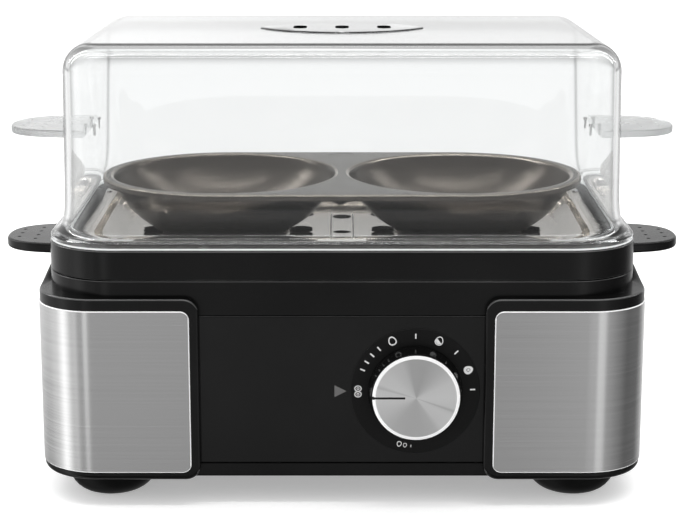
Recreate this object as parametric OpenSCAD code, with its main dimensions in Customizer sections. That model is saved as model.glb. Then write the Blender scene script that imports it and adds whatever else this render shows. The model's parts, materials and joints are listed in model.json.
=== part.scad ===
// Egg cooker: a low rounded base with brushed steel side panels, a rotary control,
// a water basin over a heater, a lift-off carrier with a steel tray, a two-well
// poaching pan and a clear lid. Front is -Y, up is +Z, the origin is on the table
// under the middle of the base.

/* [Base] */
// Width of the base over its steel side panels
body_w = 240; // [200:1:300]
// Depth of the base over its cheeks
body_d = 165; // [137:1:210]
// Corner radius of the housing, the carrier and the lid's rim in plan
body_r = 28; // [24:0.5:34]
// Corner radius of the cheeks and their steel in plan
cheek_r = 24; // [20:0.5:28]
// Height of the feet, from the table to the underside of the base
foot_h = 11; // [9:0.5:16]
// Height of the cheeks above the underside of the base
cheek_h = 73.3; // [61:0.1:90]
// Thickness of the cheeks, which is how far they stand out from the housing
cheek_t = 4; // [3.3:0.1:5]
// Height of the housing's neck above the top of the cheeks
neck_h = 6.2; // [5:0.1:9]
// Wall thickness of the housing
wall = 2.5; // [2:0.1:3]
// Width of the plain front between the two cheeks
front_w = 110.4; // [92:0.1:132]

/* [Steel panels] */
// Thickness of the brushed steel sheet
steel_t = 0.8; // [0.6:0.1:1.2]
// Black border of the cheek around the steel, at its front, top and bottom
steel_border = [3.6, 4.7, 3.4]; // [2:0.1:8]
// Corner radius of the steel sheet
steel_r = 3.5; // [2:0.1:6]

/* [Control] */
// Diameter of the knob's metal cap
knob_d = 33.7; // [28:0.1:40]
// How far the knob's cap stands out from the front panel
knob_out = 9.6; // [8.4:0.1:12]
// Diameter of the printed dial disc
dial_d = 50.4; // [46:0.1:60]
// Gap between the dial disc and the right cheek
dial_gap = 1.5; // [1:0.1:5]
// Radius of the control shaft
shaft_r = 2.95; // [2.5:0.05:3.5]
// Radial running clearance of the control shaft in its bushing
shaft_gap = 0.05; // [0.02:0.01:0.1]
// Thickness of the gloss front panel
panel_t = 2.2; // [1.8:0.1:2.6]

/* [Basin and heater] */
// Depth of the water basin
basin_depth = 19; // [16:0.5:24]
// Sheet thickness of the basin
basin_t = 0.8; // [0.6:0.1:1.2]
// Middle diameter of the ring-shaped heating element
element_d = 84; // [70:1:101]
// Radius of the heating element's tube
element_r = 3.2; // [2.6:0.1:4]

/* [Carrier and tray] */
// Height of the carrier ring
ring_h = 11.5; // [9.6:0.1:14]
// How far a carrier handle reaches out from the ring
grip_l = 27; // [22:0.5:34]
// Width of a carrier handle where it meets the ring
grip_w = 43; // [36:0.5:52]
// Thickness of a carrier handle
grip_t = 4.2; // [3.4:0.1:5]
// Sheet thickness of the steel tray
tray_t = 0.8; // [0.6:0.1:1.2]
// Depth of the steel tray below the ring's top
tray_depth = 7; // [5.8:0.1:8]
// Diameter of the steam holes in the tray
steam_hole_d = 10; // [8:0.5:12]

/* [Poaching pan] */
// Width of the flat rim around each well
pan_rim = 4.75; // [3.9:0.05:6]
// Depth of each well
well_depth = 22.6; // [18.8:0.1:24]
// Sheet thickness of the pan
pan_t = 1; // [0.8:0.1:1.4]
// Narrowest web between the two wells
web_w = 5.5; // [4:0.1:8]
// Clearance from the ends of the pan to the lid
pan_gap = 5.5; // [4:0.1:8]

/* [Lid] */
// Height of the lid
lid_h = 77.5; // [65:0.5:93]
// Wall thickness of the lid
lid_t = 2.2; // [1.8:0.1:2.8]
// Rounding between the lid's walls and its top
lid_fillet = 11; // [9:0.1:14]
// How far a lid handle reaches out from the lid
lug_l = 30; // [25:0.5:36]
// Width of a lid handle where it meets the lid
lug_w = 46; // [40:0.5:55]
// Thickness of a lid handle
lug_t = 3; // [2.4:0.1:3.8]
// Height of a lid handle's top above the lid's rim
lug_z = 37.7; // [31:0.1:45]

/* [Cord gland] */
// Radius of the cord's bore in the gland
gland_bore_r = 3.5; // [3:0.1:4.5]

/* [Hidden] */

// Small gaps. fit: loose parts side by side. seam: visible seam lines.
fit = 0.25;
seam = 0.3;
corner_steps = 12;   // straight steps in a quarter turn of an outline
dimple_r = 0.7;

// Heights, from the table up
base_z = foot_h;
cheek_top = base_z + cheek_h;
neck_top = cheek_top + neck_h;
ring_z = neck_top + seam;
ring_top = ring_z + ring_h;
lid_z = ring_top + seam;
lid_top = lid_z + lid_h;
tray_z = ring_top - tray_depth;          // top face of the tray's flat middle
deck_t = 3;
basin_top = neck_top - 0.4;
basin_z = basin_top - basin_depth;       // underside of the basin

// Insets of each outline from the outline of the base
core_in = cheek_t;
inner_in = core_in + wall;
upstand_in = core_in + 3 + seam;
upstand_t = 2.2;
upstand_h = 3.5;
ring_wall = 3;
ring_deck = 2.5;
ring_inner_in = core_in + 12.5;
skirt_t = 2;
tray_edge_in = ring_inner_in - 3;
tray_wall_in = ring_inner_in + 0.5 + tray_t;
tray_step_in = tray_wall_in + 2.4;
tray_floor_in = core_in + 22;
basin_edge_in = core_in + 10.8;
basin_seat_in = core_in + 14;
basin_wall_in = core_in + 16;
basin_floor_in = core_in + 23;
gasket_t = 0.8;

// Lid sections
lid_rim_in = core_in + 0.4;
lid_wall_in = core_in + 6.7;
lid_draft = 1.2;
lid_corner_r = 14;

// Front: the housing's plain middle, the gloss panel and the dial
front_y = -body_d / 2 + core_in;
rear_y = -front_y;
panel_z = base_z + 6.2;
panel_h = cheek_h - 13.7;
panel_w = front_w + 3.6;
pocket = panel_t + 0.1;
backing_y = front_y + pocket + 2.2;
dial_t = 0.6;
knob_x = front_w / 2 - dial_gap - dial_d / 2;
knob_z = panel_z + panel_h * 0.494;
cap_t = 0.9;
cap_y = front_y - knob_out;
skirt_y = front_y - dial_t - 0.4;
pot_face_y = backing_y;
pot_r = 11;
pot_l = 8;
board_y = pot_face_y + pot_l;
board_t = 1.6;
bushing_r = shaft_r + shaft_gap + 1.5;

// Pan, which fits the inside of the lid
lid_inner_in = lid_wall_in + lid_draft + lid_t - 1.1;
pan_l = body_w - 2 * lid_inner_in - 2 * pan_gap;
pan_d = min(body_d - 2 * lid_inner_in - 16, (pan_l + 2 * pan_rim - web_w) / 2);
well_d = pan_d - 2 * pan_rim;
well_x = (pan_l - pan_d) / 2;
pan_lift = 0.3;                          // bowl bottoms stand this far over the tray
pan_top = tray_z + pan_lift + well_depth + pan_t;

foot_x = body_w / 2 - core_in - 23.5;
foot_y = body_d / 2 - core_in - 20.5;
foot_r = 15;
pad_r = 6.5;
cover_t = 2;
cover_z = base_z + 0.4;
post_x = body_w / 2 - core_in - 9.5;
post_y = 25;
post_r = 4;

// ---------------------------------------------------------------- helpers
function arc(cx, cy, r, a0, a1, n) =
    [for (i = [0:n]) let(a = a0 + (a1 - a0) * i / n) [cx + r * cos(a), cy + r * sin(a)]];

// Rounded rectangle, counter-clockwise, centred on the origin
function rounded(w, d, r, n = corner_steps) = concat(
    arc(w / 2 - r, d / 2 - r, r, 0, 90, n), arc(r - w / 2, d / 2 - r, r, 90, 180, n),
    arc(r - w / 2, r - d / 2, r, 180, 270, n), arc(w / 2 - r, r - d / 2, r, 270, 360, n));

// Corner radius at an inset: the cheeks have their own, inside them all corners share a centre
function corner(inset) =
    inset < core_in - 0.01 ? cheek_r - inset : max(body_r + core_in - inset, 2);

// The base's own outline, moved in by an inset
function outline(inset, r = undef, n = corner_steps) =
    rounded(body_w - 2 * inset, body_d - 2 * inset,
        is_undef(r) ? corner(inset) : r, n);

function section(inset, z, r = undef, n = corner_steps) =
    [for (p = outline(inset, r, n)) [p[0], p[1], z]];

module slab(inset, z0, z1) {
    translate([0, 0, z0]) linear_extrude(z1 - z0) polygon(outline(inset));
}

// One closed solid through a list of sections, with a flat cap on the first and the last
module loft(rings) {
    n = len(rings[0]);
    m = len(rings);
    sides = [for (j = [0:m - 2], i = [0:n - 1]) let(k = (i + 1) % n)
        each [[j * n + i, j * n + n + i, j * n + n + k], [j * n + i, j * n + n + k, j * n + k]]];
    caps = [[for (i = [0:n - 1]) i], [for (i = [n - 1:-1:0]) (m - 1) * n + i]];
    polyhedron([for (r = rings) each r], concat(sides, caps));
}

// A rod along Y from y0 to y1
module rod_y(x, z, r, y0, y1, sides = 64) {
    translate([x, y1, z]) rotate([90, 0, 0]) cylinder(h = y1 - y0, r = r, $fn = sides);
}

// A rod along X from x0 to x1
module rod_x(y, z, r, x0, x1, sides = 48) {
    translate([x0, y, z]) rotate([0, 90, 0]) cylinder(h = x1 - x0, r = r, $fn = sides);
}

// A block given by its lowest and highest corner
module block(lo, hi) {
    translate(lo) cube(hi - lo);
}

module at_corners(x, y) {
    for (sx = [-1, 1], sy = [-1, 1]) translate([sx * x, sy * y, 0]) children();
}

// Everything beyond x0 on one side, between two heights, with rounded corners at x0
module side_window(side, x0, z0, z1, r) {
    reach = body_w;
    h = z1 - z0;
    translate([side * (x0 + reach / 2), body_d, z0 + h / 2]) rotate([90, 0, 0])
        linear_extrude(2 * body_d) polygon(rounded(reach, h, r, 6));
}

// ---------------------------------------------------------------- base
module housing() {
    color([0.06, 0.06, 0.065]) difference() {
        union() {
            slab(core_in, base_z, neck_top);
            slab(upstand_in, neck_top - 0.01, neck_top + upstand_h);
        }
        slab(upstand_in + upstand_t, neck_top, neck_top + upstand_h + 1);
        slab(basin_edge_in - fit, basin_top - basin_t - gasket_t, neck_top + 1);
        slab(basin_seat_in, base_z + 20, neck_top);
        difference() {
            slab(inner_in, base_z - 1, neck_top - deck_t);
            block([-panel_w / 2 - 3, front_y, panel_z - 3],
                [panel_w / 2 + 3, backing_y, panel_z + panel_h + 3]);
            at_corners(post_x, post_y)
                translate([0, 0, cover_z + cover_t]) cylinder(h = neck_top, r = post_r, $fn = 48);
        }
        block([-panel_w / 2 - 0.1, front_y - 1, panel_z - 0.1],
            [panel_w / 2 + 0.1, front_y + pocket, panel_z + panel_h + 0.1]);
        rod_y(knob_x, knob_z, bushing_r + 0.2, front_y, backing_y + 1);
        lens_hole();
        rod_y(gland_x, gland_z, gland_r + 0.2, rear_y - wall - 1, rear_y + 1);
        at_corners(post_x, post_y)
            translate([0, 0, cover_z + cover_t - 1]) cylinder(h = 12, r = 1.3, $fn = 32);
    }
}

// The cheek's own band around one side of the housing
module side_band(side, inner, outer, x0, z0, z1, r) {
    intersection() {
        difference() {
            slab(outer, z0, z1);
            slab(inner, z0 - 1, z1 + 1);
        }
        side_window(side, x0, z0, z1, r);
    }
}

module cheek(side) {
    hump_h = 3.4;
    run = body_d * 0.36;
    hump = [[-run, 0], [run, 0], [run / 2, hump_h], [-run / 2, hump_h]];
    x_in = body_w / 2 - core_in;
    color([0.06, 0.06, 0.065]) difference() {
        union() {
            side_band(side, core_in, 0, front_w / 2, base_z, cheek_top, 6);
            translate([side > 0 ? x_in : -body_w / 2, 0, cheek_top - 0.01])
                rotate([90, 0, 90]) linear_extrude(core_in) polygon(hump);
        }
        steel_shape(side, 0.1);
    }
}

// The steel sheet, grown by a clearance to cut its seat in the cheek
module steel_shape(side, grow = 0) {
    side_band(side, steel_t + grow, -grow, front_w / 2 + steel_border[0] - grow,
        base_z + steel_border[2] - grow, cheek_top - steel_border[1] + grow, steel_r);
}

module steel_panel(side) {
    color([0.72, 0.72, 0.71]) steel_shape(side);
}

module bottom_cover() {
    vent_count = 9;
    vent_pitch = 9;
    color([0.05, 0.05, 0.055]) difference() {
        slab(inner_in + fit, cover_z, cover_z + cover_t);
        at_corners(post_x, post_y)
            translate([0, 0, base_z]) cylinder(h = 10, r = 1.7, $fn = 32);
        for (i = [0:vent_count - 1]) {
            x = (i - (vent_count - 1) / 2) * vent_pitch;
            block([x - 1.5, -30, base_z], [x + 1.5, 30, base_z + 10]);
        }
        at_corners(foot_x, foot_y)
            translate([0, 0, base_z]) cylinder(h = 10, r = foot_peg_r + 0.1, $fn = 32);
    }
}

foot_peg_r = 3;
foot_flat = 7.6;

// A domed foot with a peg that clips through the bottom cover
module foot(sx, sy) {
    steps = 8;
    dome = [for (i = [0:steps]) let(a = 90 * i / steps)
        [foot_flat + (foot_r - foot_flat) * sin(a), 0.6 + (cover_z - 0.6) * (1 - cos(a))]];
    profile = concat([[0, 1.6], [pad_r + 0.1, 1.6], [pad_r + 0.1, 0.6]], dome, [[0, cover_z]]);
    color([0.05, 0.05, 0.055]) translate([sx * foot_x, sy * foot_y, 0]) {
        rotate_extrude($fn = 64) polygon(profile);
        translate([0, 0, cover_z - 0.01]) cylinder(h = cover_t + 1.5, r = foot_peg_r, $fn = 32);
    }
}

module foot_pads() {
    color([0.12, 0.12, 0.12])
        at_corners(foot_x, foot_y) cylinder(h = 1.6, r = pad_r, $fn = 48);
}

module screw(l, r, head_r, head_h) {
    translate([0, 0, -0.3]) cylinder(h = l + 0.3, r = r, $fn = 32);
    translate([0, 0, -head_h]) difference() {
        cylinder(h = head_h, r = head_r, $fn = 32);
        translate([-head_r * 0.6, -0.35, -0.1]) cube([head_r * 1.2, 0.7, head_h * 0.6]);
        translate([-0.35, -head_r * 0.6, -0.1]) cube([0.7, head_r * 1.2, head_h * 0.6]);
    }
}

module cover_screws() {
    color([0.6, 0.6, 0.6]) at_corners(post_x, post_y)
        translate([0, 0, cover_z]) screw(12, 1.25, 3, 1.8);
}

// ---------------------------------------------------------------- front
module front_panel() {
    color([0.02, 0.02, 0.022]) difference() {
        block([-panel_w / 2, front_y, panel_z],
            [panel_w / 2, front_y + panel_t, panel_z + panel_h]);
        rod_y(knob_x, knob_z, bushing_r + 0.2, front_y - 1, front_y + panel_t + 1);
        lens_hole();
    }
}

module dial_disc() {
    color([0.035, 0.035, 0.037]) difference() {
        rod_y(knob_x, knob_z, dial_d / 2, front_y - dial_t, front_y, 96);
        rod_y(knob_x, knob_z, bushing_r + 0.2, front_y - dial_t - 1, front_y + 1);
    }
}

// Printed marks on the dial: ticks between plain egg shapes, by angle from the right
tick_angles = [157, 148, 139, 129.5, 90, 45, 2];
egg_angles = [114, 66, 23, 180, 258];
mark_r = dial_d / 2 - 2.9;
mark_t = 0.15;
module dial_marks() {
    color([0.9, 0.9, 0.9]) translate([knob_x, front_y - dial_t, knob_z]) rotate([90, 0, 0]) {
        for (a = tick_angles) rotate([0, 0, a])
            translate([mark_r - 1, -0.25, 0]) cube([2, 0.5, mark_t]);
        for (a = egg_angles) rotate([0, 0, a]) translate([mark_r, 0, 0]) difference() {
            cylinder(h = mark_t, r = 1.6, $fn = 32);
            translate([0, 0, -1]) cylinder(h = 2, r = 1.15, $fn = 32);
        }
    }
}

// The pilot light's arrow, which points at the dial
lens_size = 4.8;
lens_x = knob_x - dial_d / 2 - 4.2;
module lens_prism(grow, y0, y1) {
    s = lens_size / 2 + grow;
    translate([lens_x, y1, knob_z]) rotate([90, 0, 0])
        linear_extrude(y1 - y0) polygon([[-s * 0.85, -s], [s * 1.1, 0], [-s * 0.85, s]]);
}
module lens_hole() {
    lens_prism(0.12, front_y - 1, backing_y + 1);
}
module pilot_lens() {
    color([0.35, 0.33, 0.33]) lens_prism(0, front_y - 0.3, backing_y);
}
module pilot_lamp() {
    color([0.8, 0.2, 0.12]) rod_y(lens_x, knob_z, 2.4, backing_y + 0.2, board_y, 32);
}

// ---------------------------------------------------------------- knob
knob_hub_r = 5.5;
skirt_extra = 1.7;
module knob_skirt() {
    r_back = knob_d / 2 + skirt_extra;
    r_front = knob_d / 2 + 0.5;
    l = skirt_y - cap_y - cap_t;
    cup = [[shaft_r + 0.02, nut_room], [knob_hub_r, nut_room], [knob_hub_r, l - 1.8],
        [r_front - 2, l - 1.8], [r_back - 2, 0], [r_back, 0], [r_back, 1.2], [r_front, l],
        [shaft_r + 0.02, l]];
    color([0.03, 0.03, 0.032]) translate([knob_x, skirt_y, knob_z]) rotate([90, 0, 0])
        rotate_extrude($fn = 96) polygon(cup);
}
module knob_cap() {
    color([0.78, 0.78, 0.78]) difference() {
        translate([knob_x, cap_y + cap_t, knob_z]) rotate([90, 0, 0]) rotate_extrude($fn = 96)
            polygon([[0, 0], [knob_d / 2, 0], [knob_d / 2, cap_t - 0.35],
                [knob_d / 2 - 0.35, cap_t], [0, cap_t]]);
        block([knob_x - knob_d / 2 - 1, cap_y - 1, knob_z - 0.3],
            [knob_x - knob_d / 8, cap_y + 0.3, knob_z + 0.3]);
    }
}
module control_shaft() {
    color([0.7, 0.7, 0.7])
        rod_y(knob_x, knob_z, shaft_r, cap_y + cap_t, pot_face_y + 5);
}

nut_h = 2;
nut_room = nut_h + 1;
module potentiometer() {
    color([0.3, 0.32, 0.35]) difference() {
        union() {
            rod_y(knob_x, knob_z, bushing_r, front_y - dial_t - nut_h, pot_face_y + 1);
            rod_y(knob_x, knob_z, pot_r, pot_face_y, board_y);
        }
        rod_y(knob_x, knob_z, shaft_r + shaft_gap, front_y - 10, pot_face_y + 5.5);
    }
}
module potentiometer_nut() {
    color([0.7, 0.7, 0.7]) difference() {
        rod_y(knob_x, knob_z, bushing_r + 2, front_y - dial_t - nut_h, front_y - dial_t, 6);
        rod_y(knob_x, knob_z, bushing_r + 0.02, front_y - 10, front_y);
    }
}

board_x = [lens_x - 7.1, 48];
board_h = 44;
module control_board() {
    z0 = knob_z - board_h / 2;
    color([0.1, 0.32, 0.18]) difference() {
        block([board_x[0], board_y, z0], [board_x[1], board_y + board_t, z0 + board_h]);
        for (x = board_x, z = [z0 + 4, z0 + board_h - 4])
            rod_y(x > 0 ? x - 4 : x + 4, z, 1.6, board_y - 1, board_y + board_t + 1, 24);
    }
}
module board_screws() {
    z0 = knob_z - board_h / 2;
    color([0.7, 0.7, 0.7]) for (x = board_x, z = [z0 + 4, z0 + board_h - 4])
        translate([x > 0 ? x - 4 : x + 4, board_y + board_t, z]) rotate([90, 0, 0])
            screw(board_t + pot_l - 0.1, 1.4, 2.6, 1.6);
}
module buzzer() {
    color([0.08, 0.08, 0.08]) difference() {
        rod_y(board_x[0] + 17, knob_z - 11, 6, board_y + board_t, board_y + board_t + 8);
        rod_y(board_x[0] + 17, knob_z - 11, 1.2, board_y + board_t + 7, board_y + board_t + 9);
    }
}
module relay() {
    y0 = board_y + board_t;
    color([0.15, 0.25, 0.5])
        block([board_x[0] + 30, y0, knob_z + 3], [board_x[0] + 49, y0 + 12, knob_z + 16]);
}

// ---------------------------------------------------------------- rear
gland_x = 36;
gland_z = base_z + 16;
gland_r = gland_bore_r + 2;
gland_flange = 3;
gland_out = knob_out;                    // the sleeve reaches as far back as the knob does forward
gland_in = 9;
module cord_gland() {
    color([0.05, 0.05, 0.055]) difference() {
        union() {
            rod_y(gland_x, gland_z, gland_r, rear_y - gland_in, rear_y + 1);
            rod_y(gland_x, gland_z, gland_r + 2.4, rear_y, rear_y + gland_flange);
            rod_y(gland_x, gland_z, gland_r - 0.3, rear_y, rear_y + gland_out);
        }
        rod_y(gland_x, gland_z, gland_bore_r, rear_y - gland_in - 1, rear_y + gland_out + 1);
    }
}
module gland_nut() {
    y0 = rear_y - wall - 4;
    color([0.2, 0.2, 0.2]) difference() {
        rod_y(gland_x, gland_z, gland_r + 3, y0, rear_y - wall, 6);
        rod_y(gland_x, gland_z, gland_r + 0.05, y0 - 1, rear_y);
    }
}
module terminal_block() {
    ways = 3;
    pitch = 8;
    z0 = cover_z + cover_t;
    color([0.9, 0.9, 0.86]) difference() {
        block([-10, rear_y - 40, z0], [-10 + ways * pitch, rear_y - 24, z0 + 11]);
        for (i = [0:ways - 1]) {
            x = -10 + (i + 0.5) * pitch;
            rod_y(x, z0 + 5, 1.8, rear_y - 41, rear_y - 23, 24);
            translate([x, rear_y - 32, z0 + 8]) cylinder(h = 4, r = 1.6, $fn = 24);
        }
    }
}

// ---------------------------------------------------------------- basin and heater
module basin_gasket() {
    z0 = basin_top - basin_t - gasket_t;
    color([0.75, 0.3, 0.2]) difference() {
        slab(basin_edge_in, z0, z0 + gasket_t);
        slab(basin_seat_in - 0.3, z0 - 1, z0 + gasket_t + 1);
    }
}

module water_basin() {
    under = [section(basin_floor_in + 3, basin_z), section(basin_floor_in, basin_z + 2.5),
        section(basin_wall_in, basin_top - basin_t - 0.6),
        section(basin_wall_in, basin_top - basin_t)];
    top = [section(basin_edge_in, basin_top - basin_t), section(basin_edge_in, basin_top),
        section(basin_wall_in + basin_t + 0.4, basin_top),
        section(basin_wall_in + basin_t, basin_top - 0.7),
        section(basin_floor_in + basin_t, basin_z + 3),
        section(basin_floor_in + 3 + basin_t, basin_z + basin_t)];
    color([0.22, 0.22, 0.23]) loft(concat(under, top));
}

plate_t = 3;
plate_r = element_d / 2 + 8;
element_z = basin_z - plate_t - element_r - 0.05;
module heat_plate() {
    color([0.78, 0.78, 0.8]) translate([0, 0, basin_z - plate_t])
        cylinder(h = plate_t - 0.02, r = plate_r, $fn = 96);
}
lead_angle = 24;
module heating_element() {
    r = element_d / 2;
    color([0.35, 0.33, 0.32]) translate([0, 0, element_z]) {
        rotate([0, 0, 90 + lead_angle]) rotate_extrude(angle = 360 - 2 * lead_angle, $fn = 96)
            translate([r, 0]) circle(r = element_r, $fn = 64);
        for (s = [-1, 1]) rotate([0, 0, 90 + s * lead_angle]) translate([r, 0, -12])
            cylinder(h = 12 + element_r * 0.6, r = element_r - 0.4, $fn = 48);
    }
}
module element_terminals() {
    r = element_d / 2;
    color([0.8, 0.8, 0.8]) for (s = [-1, 1]) rotate([0, 0, 90 + s * lead_angle])
        translate([r, 0, element_z - 12]) {
            translate([0, 0, -6]) cylinder(h = 6, r = 1.4, $fn = 24);
            translate([-3.2, -0.4, -14]) cube([6.4, 0.8, 8.5]);
        }
}
thermostat_h = 6;
module thermostat() {
    z1 = basin_z - plate_t - 0.05;
    color([0.15, 0.12, 0.1]) {
        translate([0, 0, z1 - thermostat_h]) cylinder(h = thermostat_h, r = 8.5, $fn = 64);
        for (s = [-1, 1]) translate([s * 4 - 0.4, -3, z1 - thermostat_h - 7])
            cube([0.8, 6, 7.5]);
    }
}
module thermal_fuse() {
    z = basin_z - plate_t - 2.6;
    color([0.85, 0.82, 0.75]) {
        rod_x(-20, z, 2.2, -8, 8, 32);
        rod_x(-20, z, 0.5, -16, 16, 16);
    }
}

// A steel bar that holds the heater up against the basin
bridge_z = element_z - element_r - 1.5;
bridge_y = 14;
bridge_screw_x = element_d / 2 - 13;
module heater_bridge() {
    reach = element_d / 2 + 14;
    color([0.65, 0.66, 0.68]) difference() {
        union() {
            block([-reach, bridge_y, bridge_z], [reach, bridge_y + 12, bridge_z + 1.45]);
            for (s = [-1, 1]) {
                x = s * (reach - 1.5);
                block([min(x, x + s * 1.5), bridge_y, bridge_z],
                    [max(x, x + s * 1.5), bridge_y + 12, basin_z - 0.1]);
            }
        }
        for (s = [-1, 1]) translate([s * bridge_screw_x, bridge_y + 6, bridge_z - 1])
            cylinder(h = 4, r = 1.7, $fn = 24);
    }
}
module bridge_screws() {
    color([0.6, 0.6, 0.6]) for (s = [-1, 1])
        translate([s * bridge_screw_x, bridge_y + 6, bridge_z])
            screw(basin_z - plate_t - 0.05 - bridge_z, 1.5, 3, 1.8);
}

// ---------------------------------------------------------------- carrier
flange_t = 2;
flange_x = body_w / 2 - core_in;
screw_y = 14;
screw_z = (neck_top + upstand_h + ring_top - ring_deck) / 2;

module carrier_ring() {
    color([0.06, 0.06, 0.065]) difference() {
        slab(core_in, ring_z, ring_top);
        slab(ring_inner_in, ring_z - 1, ring_top + 1);
        difference() {
            slab(core_in + ring_wall, ring_z - 1, ring_top - ring_deck);
            slab(ring_inner_in - skirt_t, ring_z - 1, ring_top);
        }
        for (s = [-1, 1], y = [-screw_y, screw_y])
            rod_x(y, screw_z, 1.6, s * flange_x - 6, s * flange_x + 6, 32);
        at_corners(rivet_x, rivet_y)
            translate([0, 0, ring_top - 6]) cylinder(h = 8, r = 1.3, $fn = 24);
    }
}

// Plan of a handle: full width at the root, drawn in to a round tip
function paddle(l, w) = let(n = 20)
    concat([for (i = [0:n]) let(t = i / n) [l * t, -w / 2 * pow(1 - pow(t, 3.2), 0.42) * (1 - 0.12 * t)]],
        [for (i = [n - 1:-1:0]) let(t = i / n)
            [l * t, w / 2 * pow(1 - pow(t, 3.2), 0.42) * (1 - 0.12 * t)]]);

// Rows of dimples across a handle, fewer towards its tip
module dimples(l, w, z) {
    rows = [[0.2, 4], [0.5, 4], [0.78, 3]];
    for (row = rows, i = [0:row[1] - 1])
        translate([l * row[0], (i - (row[1] - 1) / 2) * w * 0.17, z - 0.4])
            cylinder(h = 1, r = dimple_r, $fn = 16);
}

module carrier_handle(side) {
    grip_top = ring_z + 1.8;
    plate_l = grip_w + 8;
    color([0.07, 0.07, 0.075]) scale_side(side) difference() {
        union() {
            translate([flange_x, 0, 0]) rotate([90, 0, 90])
                linear_extrude(flange_t) translate([0, (ring_z + ring_top) / 2])
                    polygon(rounded(plate_l, ring_h - 1, 3, 6));
            translate([flange_x + 0.4, 0, grip_top - grip_t])
                linear_extrude(grip_t) polygon(paddle(grip_l - 0.4, grip_w));
        }
        translate([flange_x, 0, 0]) dimples(grip_l, grip_w, grip_top);
        translate([flange_x - 0.1, 0, 0]) for (y = [-screw_y, screw_y])
            rod_x(y, screw_z, 1.25, -1, 1.6, 24);
        // clears the raised shoulder of the cheek below
        block([flange_x - 1, -body_d, grip_top - grip_t - 1],
            [body_w / 2 + 0.5, body_d, ring_z - 2]);
    }
}

// Draws children on the right, or mirrored on the left
module scale_side(side) {
    if (side > 0) children();
    else mirror([1, 0, 0]) children();
}

module carrier_screws() {
    color([0.7, 0.7, 0.7]) for (s = [-1, 1], y = [-screw_y, screw_y]) scale_side(s)
        translate([flange_x - ring_wall, y, screw_z]) rotate([0, 90, 0])
            screw(ring_wall + 1.4, 1.2, 2.3, 1.6);
}

// Round steam holes: a middle column, two inner columns and two outer columns
hole_x = [0, 17.5, 80];
hole_y = [-35, -7, 21];
rib_x = 33;
module steel_tray() {
    under = [section(tray_floor_in, tray_z - tray_t), section(tray_step_in, tray_z + 2.4 - tray_t),
        section(tray_step_in - 1.6, tray_z + 3.2 - tray_t), section(tray_wall_in, ring_top - 1),
        section(tray_wall_in - tray_t, ring_top)];
    top = [section(tray_edge_in, ring_top), section(tray_edge_in, ring_top + tray_t),
        section(tray_wall_in + 0.2, ring_top + tray_t), section(tray_wall_in + tray_t, ring_top - 0.6),
        section(tray_step_in - 1.2, tray_z + 3.2), section(tray_step_in + 0.4, tray_z + 2.4),
        section(tray_floor_in + tray_t, tray_z)];
    out_x = min(hole_x[2], body_w / 2 - tray_floor_in - steam_hole_d / 2 - 2);
    color([0.74, 0.73, 0.71]) difference() {
        loft(concat(under, top));
        for (y = hole_y) translate([0, y, tray_z - 2]) steam_hole();
        for (s = [-1, 1]) {
            for (y = hole_y) translate([s * hole_x[1], y + 7, tray_z - 2]) steam_hole();
            for (y = [-28, 0, 28]) translate([s * out_x, y, tray_z - 2]) steam_hole();
        }
        at_corners(rivet_x, rivet_y)
            translate([0, 0, ring_top - 2]) cylinder(h = 5, r = 1.25, $fn = 24);
    }
}
module steam_hole() {
    cylinder(h = 4, r = steam_hole_d / 2, $fn = 48);
}

rivet_x = body_w / 2 - tray_edge_in - 1.6;
rivet_y = body_d / 2 - body_r - 14;
module tray_rivets() {
    color([0.8, 0.8, 0.8]) at_corners(rivet_x, rivet_y) {
        translate([0, 0, ring_top - 3.5]) cylinder(h = 3.5 + tray_t, r = 1.2, $fn = 24);
        translate([0, 0, ring_top + tray_t]) cylinder(h = 0.5, r = 1.5, $fn = 24);
    }
}

// ---------------------------------------------------------------- poaching pan
// Plan of the pan: two half circles joined by straight sides
function stadium(l, d, n = 32) =
    concat(arc((l - d) / 2, 0, d / 2, -90, 90, n), arc((d - l) / 2, 0, d / 2, 90, 270, n));

// Bowl wall from a flat bottom up to its rim; the radius follows a power curve of the height
well_bottom_r = 15;
well_curve = 0.34;
function bowl_r(t) = well_bottom_r + (well_d / 2 - well_bottom_r) * pow(t, well_curve);
module well() {
    steps = 12;
    h = well_depth;
    inner = [for (i = [0:steps]) let(t = pow(i / steps, 2)) [bowl_r(t), pan_top - h + h * t]];
    outer = [for (i = [0:steps]) let(t = pow(i / steps, 2))
        [bowl_r(t) + pan_t * (0.35 + 0.65 * t), pan_top - pan_t - h + h * t]];
    rotate_extrude($fn = 96) polygon(concat([[0, pan_top - h]], inner,
        [for (i = [steps:-1:0]) outer[i]], [[0, pan_top - pan_t - h]]));
}
module poaching_pan() {
    lip_h = 2.6;
    color([0.2, 0.19, 0.18]) union() {
        difference() {
            translate([0, 0, pan_top - lip_h]) linear_extrude(lip_h) polygon(stadium(pan_l, pan_d));
            translate([0, 0, pan_top - lip_h - 1]) linear_extrude(lip_h + 1 - pan_t)
                polygon(stadium(pan_l - 2 * pan_t, pan_d - 2 * pan_t));
            for (s = [-1, 1]) translate([s * well_x, 0, pan_top - 5])
                cylinder(h = 10, r = well_d / 2, $fn = 96);
        }
        for (s = [-1, 1]) translate([s * well_x, 0, 0]) well();
    }
}

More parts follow.
